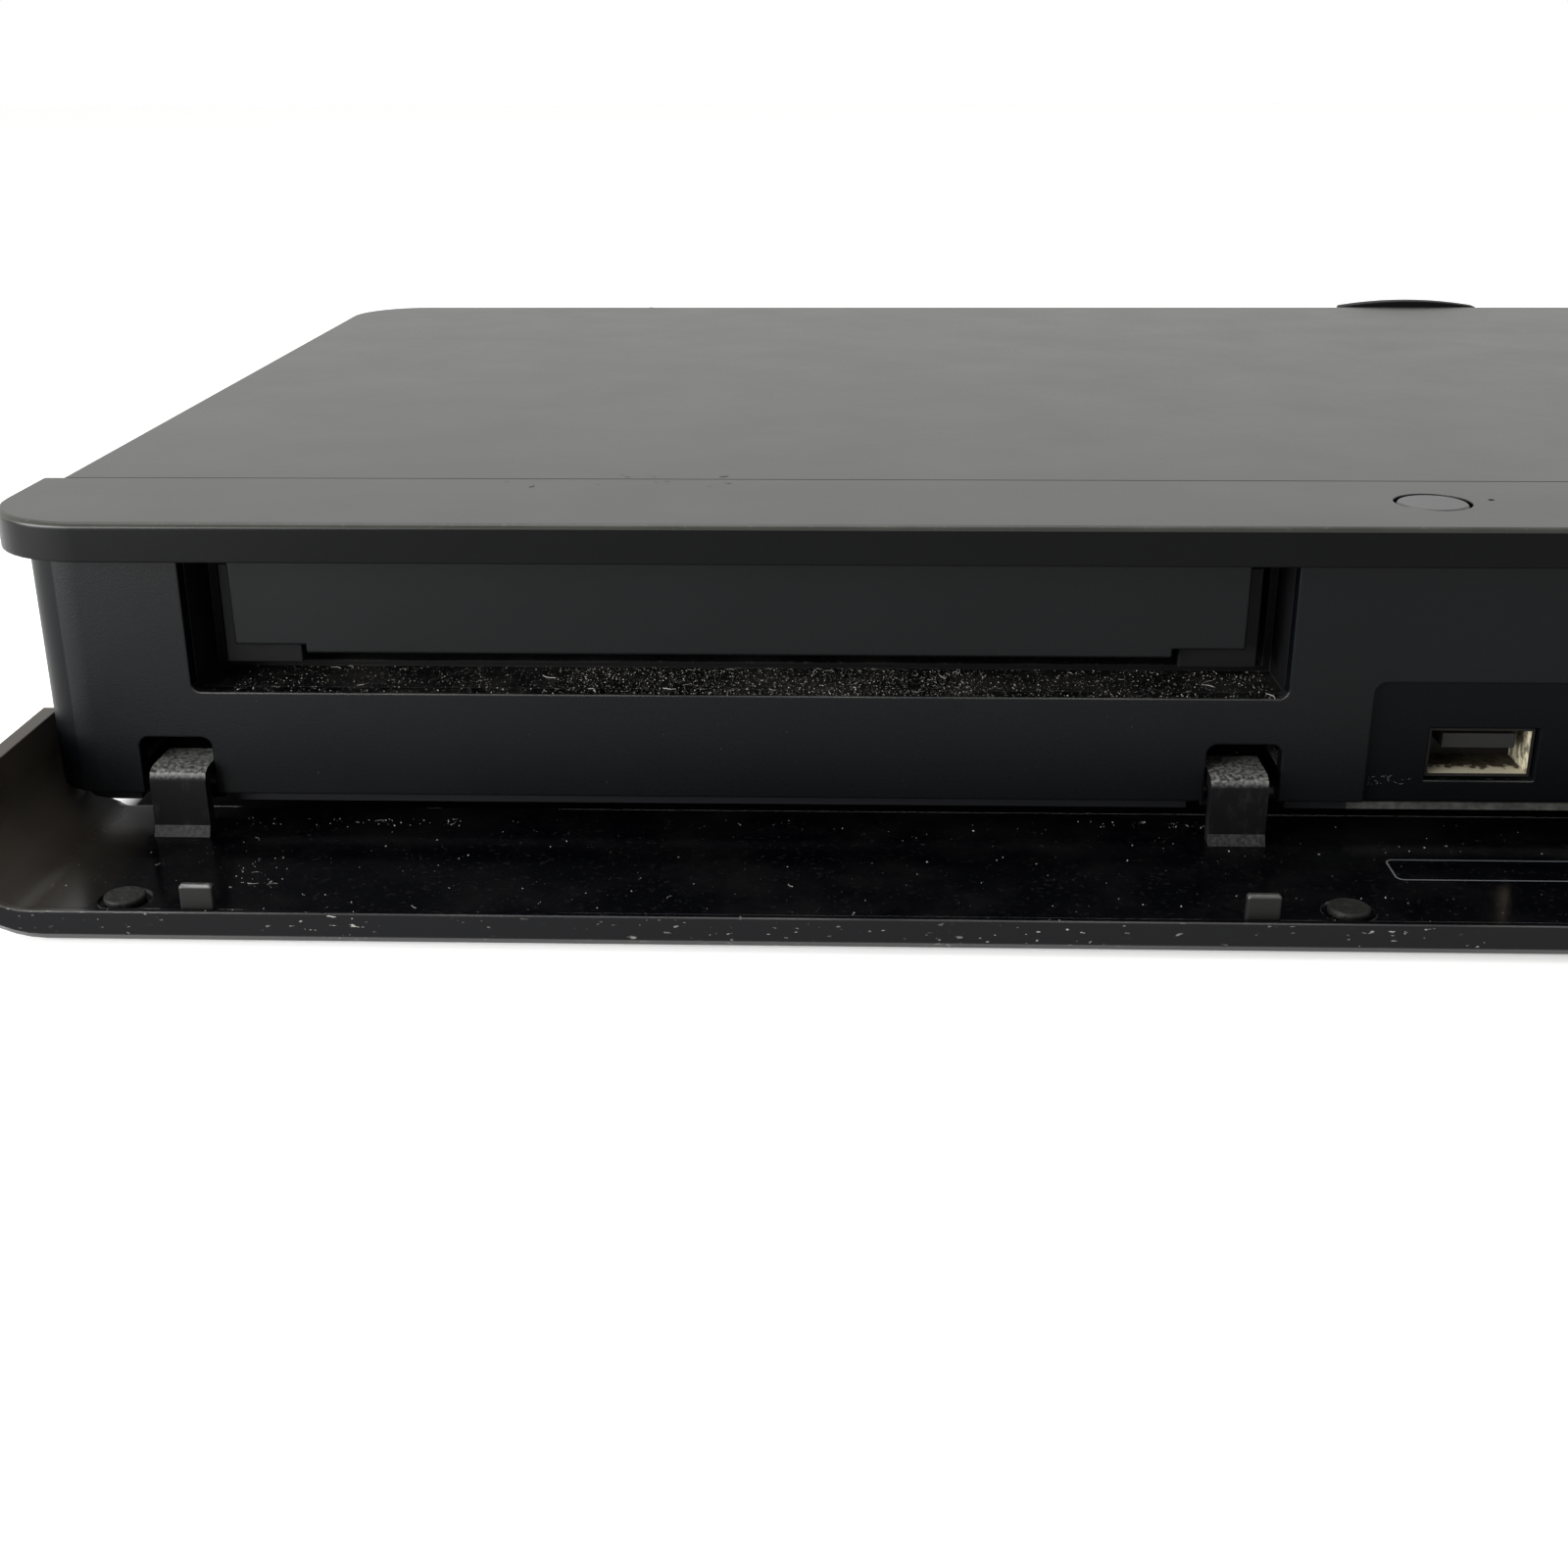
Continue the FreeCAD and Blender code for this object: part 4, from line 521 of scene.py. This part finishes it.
def strip_front_shaded_copy():
    """Upright side of that strip, duller than the panel below: a darker copy of the strip's finish, painted
    shade on the faces that look to the front.
    """
    return moulded("strip_front_shaded_copy", STRIP_FRONT_SHADED_BLACK, 0.32, grain=0.35, grain_scale=4300.0, gloss=0.08,
                   edge_gloss=0.9)


def dress_nodes(finishes):
    """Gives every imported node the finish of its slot, with the few that differ by node."""
    own = {"audio_sockets": audio_plastic(),
           "usb_port": port_shell_painted_light_and_shade(),
           "screws": metal("blackened_screws", (0.11, 0.11, 0.115), 0.34, brushed=False),
           "bottom_chassis": chassis_sheet(),
           "hinge_pins": moulded("blackened_steel", (0.012, 0.012, 0.013), 0.4, grain=0.1)}
    for name, node in frame["nodes"].items():
        finish = own.get(name, finishes[SLOT_OF[name]])
        if node.data.materials:
            node.data.materials[0] = finish
        else:
            node.data.materials.append(finish)


# Copies with rounded edges of the pieces whose edges catch the light, and the width of the rounding
ROUNDED = {
    "top_fascia": 0.6 * MM,
    "front_panel": 0.4 * MM,
    "front_flap": 0.4 * MM,
    "hinge_arms": 0.3 * MM,
    "flap_tabs": 0.25 * MM,
    "tray_bezel": 0.5 * MM,
    "open_close_button": 0.2 * MM,
    "power_button": 0.2 * MM,
    "flap_pads": 0.3 * MM,
    "tray_bay": 0.2 * MM,
    "disc_tray": 0.2 * MM,
    "fan_cowl": 0.4 * MM,
    "feet": 0.6 * MM,
    "mains_inlet": 0.3 * MM,
}
SHARPER_THAN = math.radians(28.0)
FLATTER_THAN = math.radians(0.8)
MERGE_WITHIN = 0.000002


def refined(node, width, finish):
    """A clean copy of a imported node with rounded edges, which stands for it."""
    mesh = frame["nodes"][node].data.copy()
    mesh.name = node + "_rounded"
    work = bmesh.new()
    work.from_mesh(mesh)
    bmesh.ops.remove_doubles(work, verts=work.verts, dist=MERGE_WITHIN)
    bmesh.ops.dissolve_limit(work, angle_limit=FLATTER_THAN, verts=work.verts, edges=work.edges)
    work.to_mesh(mesh)
    work.free()
    mesh.materials.clear()
    mesh.materials.append(finish)
    for polygon in mesh.polygons:
        polygon.use_smooth = True
        polygon.material_index = 0
    piece = bpy.data.objects.new(node + "_rounded", mesh)
    bpy.context.scene.collection.objects.link(piece)
    bevel = piece.modifiers.new("edges", "BEVEL")
    bevel.width = width
    bevel.segments = 3
    bevel.limit_method = "ANGLE"
    bevel.angle_limit = SHARPER_THAN
    bevel.harden_normals = True
    flat = piece.modifiers.new("flat_faces", "WEIGHTED_NORMAL")
    flat.mode = "FACE_AREA"
    flat.weight = 100
    flat.keep_sharp = True
    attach(piece, BODY_OF[node])
    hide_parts(node)
    return piece


def lit_finish_on_upper_side(piece, finish):
    """Gives a second finish to the faces of a piece that look up; on the strip above the front it is a
    lighter copy of the finish, painted light.
    """
    piece.data.materials.append(finish)
    for polygon in piece.data.polygons:
        if polygon.normal.z > 0.3:
            polygon.material_index = 1


def round_pieces(finishes):
    front, top = strip_front_shaded_copy(), strip_top_lit_copy()
    for node, width in ROUNDED.items():
        if node == "top_fascia":
            # The strip's upper faces get the lighter copy of its finish: painted light
            lit_finish_on_upper_side(refined(node, width, front), top)
        else:
            refined(node, width, finishes[SLOT_OF[node]])


def add_piece(name, mesh, body):
    """A finished piece of the scene's own, which moves with a body."""
    piece = bpy.data.objects.new(name, mesh)
    bpy.context.scene.collection.objects.link(piece)
    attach(piece, body)


# Dust and lint, scattered by geometry nodes
class Scatter:
    """Node group that spreads copies of a chip or a fibre over a patch, at random but the same each run."""

    TURN_SEED = 11
    SIZE_SEED = 23
    STRETCH_SEED = 37

    def __init__(self, name):
        self.group = bpy.data.node_groups.new(name, "GeometryNodeTree")
        sockets = self.group.interface
        sockets.new_socket("Geometry", in_out="INPUT", socket_type="NodeSocketGeometry")
        self.inputs = {}
        for label, kind in (("Density", "NodeSocketFloat"), ("Seed", "NodeSocketInt"),
                            ("Smallest", "NodeSocketFloat"), ("Largest", "NodeSocketFloat"),
                            ("Material", "NodeSocketMaterial")):
            self.inputs[label] = sockets.new_socket(label, in_out="INPUT", socket_type=kind).identifier
        sockets.new_socket("Geometry", in_out="OUTPUT", socket_type="NodeSocketGeometry")
        self.start = self.node("NodeGroupInput")
        self.points = self.node("GeometryNodeDistributePointsOnFaces")
        self.join(self.start.outputs["Geometry"], self.points.inputs["Mesh"])
        self.join(self.start.outputs["Density"], self.points.inputs["Density"])
        self.join(self.start.outputs["Seed"], self.points.inputs["Seed"])

    def node(self, kind):
        return self.group.nodes.new(kind)

    def join(self, output, socket):
        self.group.links.new(output, socket)

    def random(self, kind, low, high, own_seed):
        """Random value with its own seed. low and high are values or sockets."""
        node = self.node("FunctionNodeRandomValue")
        node.data_type = kind
        for name, value in (("Min", low), ("Max", high)):
            feed(self.group, value, [s for s in node.inputs if s.name == name and s.enabled][0])
        self.join(maths(self.group, "ADD", self.start.outputs["Seed"], own_seed), node.inputs["Seed"])
        return [s for s in node.outputs if s.enabled][0]

    def finish(self, copy, stretch):
        """Puts the copies on the points with a random turn, size and stretch."""
        place = self.node("GeometryNodeInstanceOnPoints")
        self.join(self.points.outputs["Points"], place.inputs["Points"])
        self.join(copy, place.inputs["Instance"])
        spin = self.node("FunctionNodeRotateRotation")
        spin.rotation_space = "LOCAL"
        self.join(self.points.outputs["Rotation"], spin.inputs["Rotation"])
        turn = self.random("FLOAT_VECTOR", (0.0, 0.0, 0.0), (0.0, 0.0, 6.28), self.TURN_SEED)
        self.join(turn, spin.inputs["Rotate By"])
        self.join(spin.outputs["Rotation"], place.inputs["Rotation"])
        size = self.random("FLOAT", self.start.outputs["Smallest"], self.start.outputs["Largest"],
                           self.SIZE_SEED)
        scaled = self.node("ShaderNodeVectorMath")
        scaled.operation = "SCALE"
        self.join(self.random("FLOAT_VECTOR", stretch, (1.0, 1.0, 1.0), self.STRETCH_SEED), scaled.inputs[0])
        self.join(size, scaled.inputs["Scale"])
        self.join(scaled.outputs[0], place.inputs["Scale"])
        real = self.node("GeometryNodeRealizeInstances")
        coat = self.node("GeometryNodeSetMaterial")
        out = self.node("NodeGroupOutput")
        self.join(place.outputs["Instances"], real.inputs["Geometry"])
        self.join(real.outputs["Geometry"], coat.inputs["Geometry"])
        self.join(self.start.outputs["Material"], coat.inputs["Material"])
        self.join(coat.outputs["Geometry"], out.inputs["Geometry"])
        return self


def chip_scatter():
    """Flat crumbs, each a squashed ball of a few faces."""
    scatter = Scatter("dust_crumbs")
    ball = scatter.node("GeometryNodeMeshIcoSphere")
    ball.inputs["Radius"].default_value = 0.5
    ball.inputs["Subdivisions"].default_value = 1
    return scatter.finish(ball.outputs["Mesh"], stretch=(0.35, 0.35, 0.12))


def fibre_scatter():
    """Bent hairs of lint, a unit long before they are scaled."""
    scatter = Scatter("lint_fibres")
    hair = scatter.node("GeometryNodeCurveQuadraticBezier")
    hair.inputs["Resolution"].default_value = 7
    hair.inputs["Start"].default_value = (-0.5, 0.0, 0.02)
    hair.inputs["Middle"].default_value = (0.05, 0.42, 0.06)
    hair.inputs["End"].default_value = (0.5, -0.05, 0.02)
    ring = scatter.node("GeometryNodeCurvePrimitiveCircle")
    ring.inputs["Resolution"].default_value = 4
    ring.inputs["Radius"].default_value = 0.022
    tube = scatter.node("GeometryNodeCurveToMesh")
    scatter.join(hair.outputs["Curve"], tube.inputs["Curve"])
    scatter.join(ring.outputs["Curve"], tube.inputs["Profile Curve"])
    return scatter.finish(tube.outputs["Mesh"], stretch=(0.7, 0.3, 0.8))


def level_patch(x0, x1, y0, y1, z):
    return [(x0, y0, z), (x1, y0, z), (x1, y1, z), (x0, y1, z)]


def upright_patch(x0, x1, y, z0, z1):
    return [(x0, y, z0), (x1, y, z0), (x1, y, z1), (x0, y, z1)]


def sprinkle(name, dirt, patch, density, sizes, seed, body):
    """Spreads copies over a four-cornered patch, so many to the square metre, sizes in millimetres."""
    scatter, finish = dirt
    mesh = bpy.data.meshes.new(name + "_patch")
    mesh.from_pydata(patch, [], [(0, 1, 2, 3)])
    host = bpy.data.objects.new(name + "_patch", mesh)
    bpy.context.scene.collection.objects.link(host)
    spread = host.modifiers.new("spread", "NODES")
    spread.node_group = scatter.group
    values = {"Density": density, "Seed": seed, "Smallest": sizes[0] * MM, "Largest": sizes[1] * MM,
              "Material": finish}
    for label, value in values.items():
        spread[scatter.inputs[label]] = value
    bpy.context.view_layer.update()
    view = host.evaluated_get(bpy.context.evaluated_depsgraph_get())
    result = bpy.data.meshes.new_from_object(view)
    result.name = name
    bpy.data.objects.remove(host)
    if not result.materials:
        result.materials.append(finish)
    for vertex in result.vertices:
        vertex.co = Vector([min(max(v, low), high) for v, low, high in zip(vertex.co, *CAD_BOX)])
    add_piece(name, result, body)


# Heaps on the open flap: left and right end, then near and far edge behind the panel's face, or in
# front of it where negative, all in millimetres, and the crumbs and fibres on a square metre
FLAP_HEAPS = (
    ("heel_left", -186.0, -157.0, 0.6, 3.0, 600000.0, 60000.0),
    ("heel_right", -76.0, -59.2, 2.2, 4.2, 700000.0, 90000.0),
    ("beside_tab", -182.2, -176.0, -19.5, -10.0, 500000.0, 60000.0),
    ("flap_corner", -207.5, -201.5, -20.5, -16.0, 300000.0, 0.0),
)

# Stretches of the sill under the tray: left and right end in millimetres, and the specks on a
# square metre, of which crumbs and fibres are a share
SILL_STRETCHES = (
    (-186.0, -143.0, 1600000.0),
    (-143.0, -88.0, 4200000.0),
    (-88.0, -52.0, 2200000.0),
)
SILL_CRUMB_SHARE = 0.35
SILL_LINT_SHARE = 0.012
SILL_ABOVE_BAY_FOOT = 1.53 * MM


def dust_on_flap(crumbs, specks, lint):
    """Crumbs on the open flap, thicker along its front edge and in four heaps."""
    def spread(name, dirt, patch, density, sizes, seed):
        sprinkle(name, dirt, patch, density, sizes, seed, "flap")

    end = FLAP_HIGH.x - 12.0 * MM
    lying = FLAP_INNER + 0.02 * MM
    floor = level_patch(-end, end, FLAP_LOW.y + 1.4 * MM, PANEL_FACE + 4.0 * MM, lying)
    rim = level_patch(-end, end, FLAP_LOW.y + 0.2 * MM, FLAP_LOW.y + 0.9 * MM, FLAP_INNER + 0.62 * MM)
    spread("flap_crumbs", crumbs, floor, 22000.0, (0.08, 0.34), 3)
    spread("flap_specks", specks, floor, 80000.0, (0.06, 0.15), 5)
    spread("flap_lint", lint, floor, 1500.0, (0.5, 1.8), 8)
    spread("rim_crumbs", crumbs, rim, 130000.0, (0.06, 0.22), 13)
    for i, (name, left, right, near, far, many, few) in enumerate(FLAP_HEAPS):
        heap = level_patch(left * MM, right * MM, PANEL_FACE + near * MM, PANEL_FACE + far * MM, lying)
        spread(name + "_crumbs", crumbs, heap, many, (0.06, 0.34), 20 + i)
        if few:
            spread(name + "_lint", lint, heap, few, (0.4, 1.5), 30 + i)


def dust_in_bay(crumbs, specks, lint):
    """Fluff along the sill under the tray."""
    def spread(name, dirt, patch, density, sizes, seed):
        sprinkle(name, dirt, patch, density, sizes, seed, "case")

    for i, (left, right, many) in enumerate(SILL_STRETCHES):
        sill = level_patch(left * MM, right * MM, PANEL_FACE + 0.4 * MM, BAY_LOW.y + 9.0 * MM,
                           BAY_LOW.z + SILL_ABOVE_BAY_FOOT)
        spread("bay_crumbs_%d" % i, crumbs, sill, many * SILL_CRUMB_SHARE, (0.06, 0.3), 41 + i)
        spread("bay_specks_%d" % i, specks, sill, many, (0.06, 0.2), 45 + i)
        spread("bay_lint_%d" % i, lint, sill, many * SILL_LINT_SHARE, (0.8, 2.4), 49 + i)


def dust_on_panel(specks, lint):
    """Specks low on the panel, and lint in the recess under the front port."""
    low = upright_patch(-200.0 * MM, 200.0 * MM, PANEL_FACE - 0.02 * MM,
                        PANEL_FOOT + 1.0 * MM, PANEL_FOOT + 13.0 * MM)
    recess = upright_patch(-41.0 * MM, -34.0 * MM, PANEL_FACE + 0.78 * MM,
                           PANEL_FOOT + 2.2 * MM, PANEL_FOOT + 3.4 * MM)
    sprinkle("panel_specks", specks, low, 16000.0, (0.05, 0.14), 53, "case")
    sprinkle("port_lint", lint, recess, 2600000.0, (0.2, 0.7), 55, "case")


def dust_on_cover(crumbs, scuffs):
    """Specks all over the cover, and short scuffs across the seam behind the strip."""
    top = level_patch(COVER_LOW.x + 10.0 * MM, COVER_HIGH.x - 10.0 * MM, COVER_LOW.y + 10.0 * MM,
                      COVER_HIGH.y - 15.0 * MM, COVER_HIGH.z - 0.01 * MM)
    seam = level_patch(-152.0 * MM, -122.0 * MM, FASCIA_HIGH.y - 6.0 * MM, FASCIA_HIGH.y + 3.0 * MM,
                       COVER_HIGH.z - 0.02 * MM)
    sprinkle("cover_specks", crumbs, top, 2600.0, (0.06, 0.20), 59, "case")
    sprinkle("seam_scuffs", scuffs, seam, 60000.0, (0.5, 1.6), 61, "case")


def strew_dust():
    """Crumbs and lint where they lie in the photograph, with a few on the rest of the case."""
    chips, fibres = chip_scatter(), fibre_scatter()
    pale = moulded("dust_crumb", (0.28, 0.27, 0.24), 0.8, grain=0.0)
    grey = moulded("dust_grey", (0.085, 0.082, 0.075), 0.85, grain=0.0)
    fluff = moulded("lint_fibre", (0.34, 0.33, 0.31), 0.7, grain=0.0)
    crumbs, specks, lint, scuffs = (chips, pale), (chips, grey), (fibres, fluff), (fibres, grey)
    dust_on_flap(crumbs, specks, lint)
    dust_in_bay(crumbs, specks, lint)
    dust_on_panel(specks, lint)
    dust_on_cover(crumbs, scuffs)


# Printed marks
OUTLINE_LEFT = -38.8 * MM
OUTLINE_WIDTH = 40.0 * MM
OUTLINE_NEAR = 13.8 * MM
OUTLINE_FAR = 7.5 * MM
OUTLINE_LINE = 0.22 * MM
OUTLINE_CORNER = 1.1 * MM
INK_HALF = 0.02 * MM
ARC_STEPS = 6
DOT_RADIUS = 0.4 * MM
DOT_SIDES = 20
DOT_DEPTH = 0.06 * MM
DOT_FROM_BUTTON = (3.1 * MM, 1.4 * MM)


def rounded_loop(low, high, radius, z):
    """Points around a rectangle with round corners, counter-clockwise."""
    loop = []
    for k, (x, y) in enumerate(((high[0], high[1]), (low[0], high[1]), (low[0], low[1]), (high[0], low[1]))):
        cx = x - radius if x == high[0] else x + radius
        cy = y - radius if y == high[1] else y + radius
        for step in range(ARC_STEPS + 1):
            a = math.pi / 2 * (k + step / ARC_STEPS)
            loop.append((cx + radius * math.cos(a), cy + radius * math.sin(a), z))
    return loop


def printed_frame(low, high, width, z):
    """Outline of a rectangle with round corners, a hair above the surface, as points and faces."""
    inset_low, inset_high = [v + width for v in low], [v - width for v in high]
    loops = []
    for height in (z - INK_HALF, z + INK_HALF):
        loops.append(rounded_loop(low, high, OUTLINE_CORNER, height))
        loops.append(rounded_loop(inset_low, inset_high, OUTLINE_CORNER - width, height))
    n = len(loops[0])
    faces = []
    for i in range(n):
        j = (i + 1) % n
        outer, inner, outer_top, inner_top = ((k * n + i, k * n + j) for k in range(4))
        faces.append((outer_top[0], outer_top[1], inner_top[1], inner_top[0]))
        faces.append((outer[1], outer[0], inner[0], inner[1]))
        faces.append((outer[0], outer[1], outer_top[1], outer_top[0]))
        faces.append((inner[1], inner[0], inner_top[0], inner_top[1]))
    return sum(loops, []), faces


def printed_disc(x, y, radius, low, high):
    """Flat disc as points and faces."""
    n = DOT_SIDES
    turns = [math.tau * i / n for i in range(n)]
    points = [(x + radius * math.cos(a), y + radius * math.sin(a), z) for z in (low, high) for a in turns]
    faces = [tuple(range(n, 2 * n)), tuple(reversed(range(n)))]
    faces += [(i, (i + 1) % n, n + (i + 1) % n, n + i) for i in range(n)]
    return points, faces


def print_mark(name, shape, body, ink):
    mesh = bpy.data.meshes.new(name)
    points, faces = shape
    mesh.from_pydata(points, [], faces)
    mesh.materials.append(ink)
    add_piece(name, mesh, body)


def print_marks():
    """A plain outline on the flap under the front port, and a dot beside the round button."""
    ink = moulded("grey_print", (0.10, 0.105, 0.115), 0.6, grain=0.0)
    outline = printed_frame((OUTLINE_LEFT, PANEL_FACE - OUTLINE_NEAR),
                            (OUTLINE_LEFT + OUTLINE_WIDTH, PANEL_FACE - OUTLINE_FAR),
                            OUTLINE_LINE, FLAP_INNER)
    print_mark("printed_outline", outline, "flap", ink)
    dot = printed_disc(BUTTON_HIGH.x + DOT_FROM_BUTTON[0],
                       (BUTTON_LOW.y + BUTTON_HIGH.y) / 2 + DOT_FROM_BUTTON[1],
                       DOT_RADIUS, FASCIA_HIGH.z - DOT_DEPTH, FASCIA_HIGH.z)
    print_mark("printed_dot", dot, "case", ink)


# Floor, daylight and lamps
FLOOR_COLOUR = (0.80, 0.80, 0.79)
FLOOR_LIFT = (0.38, 0.38, 0.38)
FLOOR_REACH = 3.0
# Dark colour of the floor under the case: a painted shadow
PAINTED_SHADOW_COLOUR = (0.010, 0.010, 0.0105)
PAINTED_SHADOW_INSET = 1.0 * MM
PAINTED_SHADOW_EDGE = 3.5 * MM
ROOM_BRIGHT_SIDE = Vector((-0.55, 0.75, 0.35)).normalized()
ROOM_DIMMEST = 0.28


def outside_painted_shadow(tree):
    """Mask of the shadow painted on the floor: 0 on the floor that the case covers, rising to 1 just inside
    its edge.
    """
    place = tree.nodes.new("ShaderNodeTexCoord").outputs["Object"]
    sides = []
    for axis, start, end in zip("XY", *FOOTPRINT):
        half = (end - start) / 2 - PAINTED_SHADOW_INSET
        distance = maths(tree, "SUBTRACT", component(tree, place, axis), (start + end) / 2)
        sides.append(span(tree, maths(tree, "ABSOLUTE", distance), half - PAINTED_SHADOW_EDGE, half, 0.0, 1.0))
    return maths(tree, "MAXIMUM", *sides)


def seen_directly(tree):
    """1 for the camera's own rays and for those that mirror or pass through a piece."""
    path = tree.nodes.new("ShaderNodeLightPath")
    mirrored = maths(tree, "MAXIMUM", path.outputs["Is Camera Ray"], path.outputs["Is Glossy Ray"])
    return maths(tree, "MAXIMUM", mirrored, path.outputs["Is Transmission Ray"])


def make_floor():
    """Pale floor that keeps the object's shadow and looks white beyond it, with a painted shadow under the
    case: a dark colour and no white lift there.
    """
    data = bpy.data.meshes.new("floor")
    data.from_pydata(level_patch(-FLOOR_REACH, FLOOR_REACH, -FLOOR_REACH, FLOOR_REACH, 0.0),
                     [], [(0, 1, 2, 3)])
    floor = bpy.data.objects.new("floor", data)
    bpy.context.scene.collection.objects.link(floor)
    material = bpy.data.materials.new("pale_floor")
    material.use_nodes = True
    tree = material.node_tree
    tree.nodes.clear()
    floor_outside_painted_shadow = outside_painted_shadow(tree)
    diffuse = tree.nodes.new("ShaderNodeBsdfDiffuse")
    # Painted shadow: the floor's colour goes dark under the case
    feed(tree, mix(tree, floor_outside_painted_shadow, PAINTED_SHADOW_COLOUR, FLOOR_COLOUR), diffuse.inputs["Color"])
    lift = tree.nodes.new("ShaderNodeEmission")
    lift.inputs["Color"].default_value = (*FLOOR_LIFT, 1.0)
    feed(tree, maths(tree, "MULTIPLY", seen_directly(tree), floor_outside_painted_shadow), lift.inputs["Strength"])
    both = tree.nodes.new("ShaderNodeAddShader")
    feed(tree, diffuse.outputs[0], both.inputs[0])
    feed(tree, lift.outputs[0], both.inputs[1])
    out = tree.nodes.new("ShaderNodeOutputMaterial")
    feed(tree, both.outputs[0], out.inputs["Surface"])
    data.materials.append(material)


def make_daylight():
    """White room that is bright behind and to the left, and dimmer behind the camera."""
    world = bpy.data.worlds.new("studio")
    bpy.context.scene.world = world
    world.use_nodes = True
    tree = world.node_tree
    tree.nodes.clear()
    lean = tree.nodes.new("ShaderNodeVectorMath")
    lean.operation = "DOT_PRODUCT"
    lean.inputs[1].default_value = ROOM_BRIGHT_SIDE
    feed(tree, tree.nodes.new("ShaderNodeTexCoord").outputs["Generated"], lean.inputs[0])
    room = span(tree, lean.outputs["Value"], -0.35, 0.35, ROOM_DIMMEST, 1.0)
    light = tree.nodes.new("ShaderNodeBackground")
    light.inputs["Color"].default_value = (1.0, 1.0, 1.0, 1.0)
    feed(tree, maths(tree, "MAXIMUM", room, seen_directly(tree)), light.inputs["Strength"])
    out = tree.nodes.new("ShaderNodeOutputWorld")
    feed(tree, light.outputs[0], out.inputs["Surface"])


def softbox(name, place, aim, width, height, watts):
    data = bpy.data.lights.new(name, "AREA")
    data.shape = "RECTANGLE"
    data.size = width
    data.size_y = height
    data.energy = watts
    lamp = bpy.data.objects.new(name, data)
    turn = (Vector(aim) - Vector(place)).to_track_quat("-Z", "Y").to_matrix().to_4x4()
    lamp.matrix_world = Matrix.Translation(place) @ turn
    bpy.context.scene.collection.objects.link(lamp)


def make_lamps():
    softbox("side_card", place=(-0.80, -0.33, 0.12), aim=(-0.20, -0.09, 0.03),
            width=0.30, height=0.24, watts=4.5)
    softbox("top_softbox", place=(-0.35, 0.25, 1.25), aim=(-0.05, -0.05, 0.0),
            width=1.1, height=0.8, watts=9.0)
    softbox("left_card", place=(-0.47, -0.43, 0.13), aim=(-0.18, -0.09, 0.04),
            width=0.30, height=0.25, watts=3.0)


def main():
    bpy.context.scene.view_settings.view_transform = "Standard"
    finishes = make_finishes()
    dress_nodes(finishes)
    round_pieces(finishes)
    print_marks()
    strew_dust()
    make_floor()
    make_daylight()
    make_lamps()
    make_camera()


main()
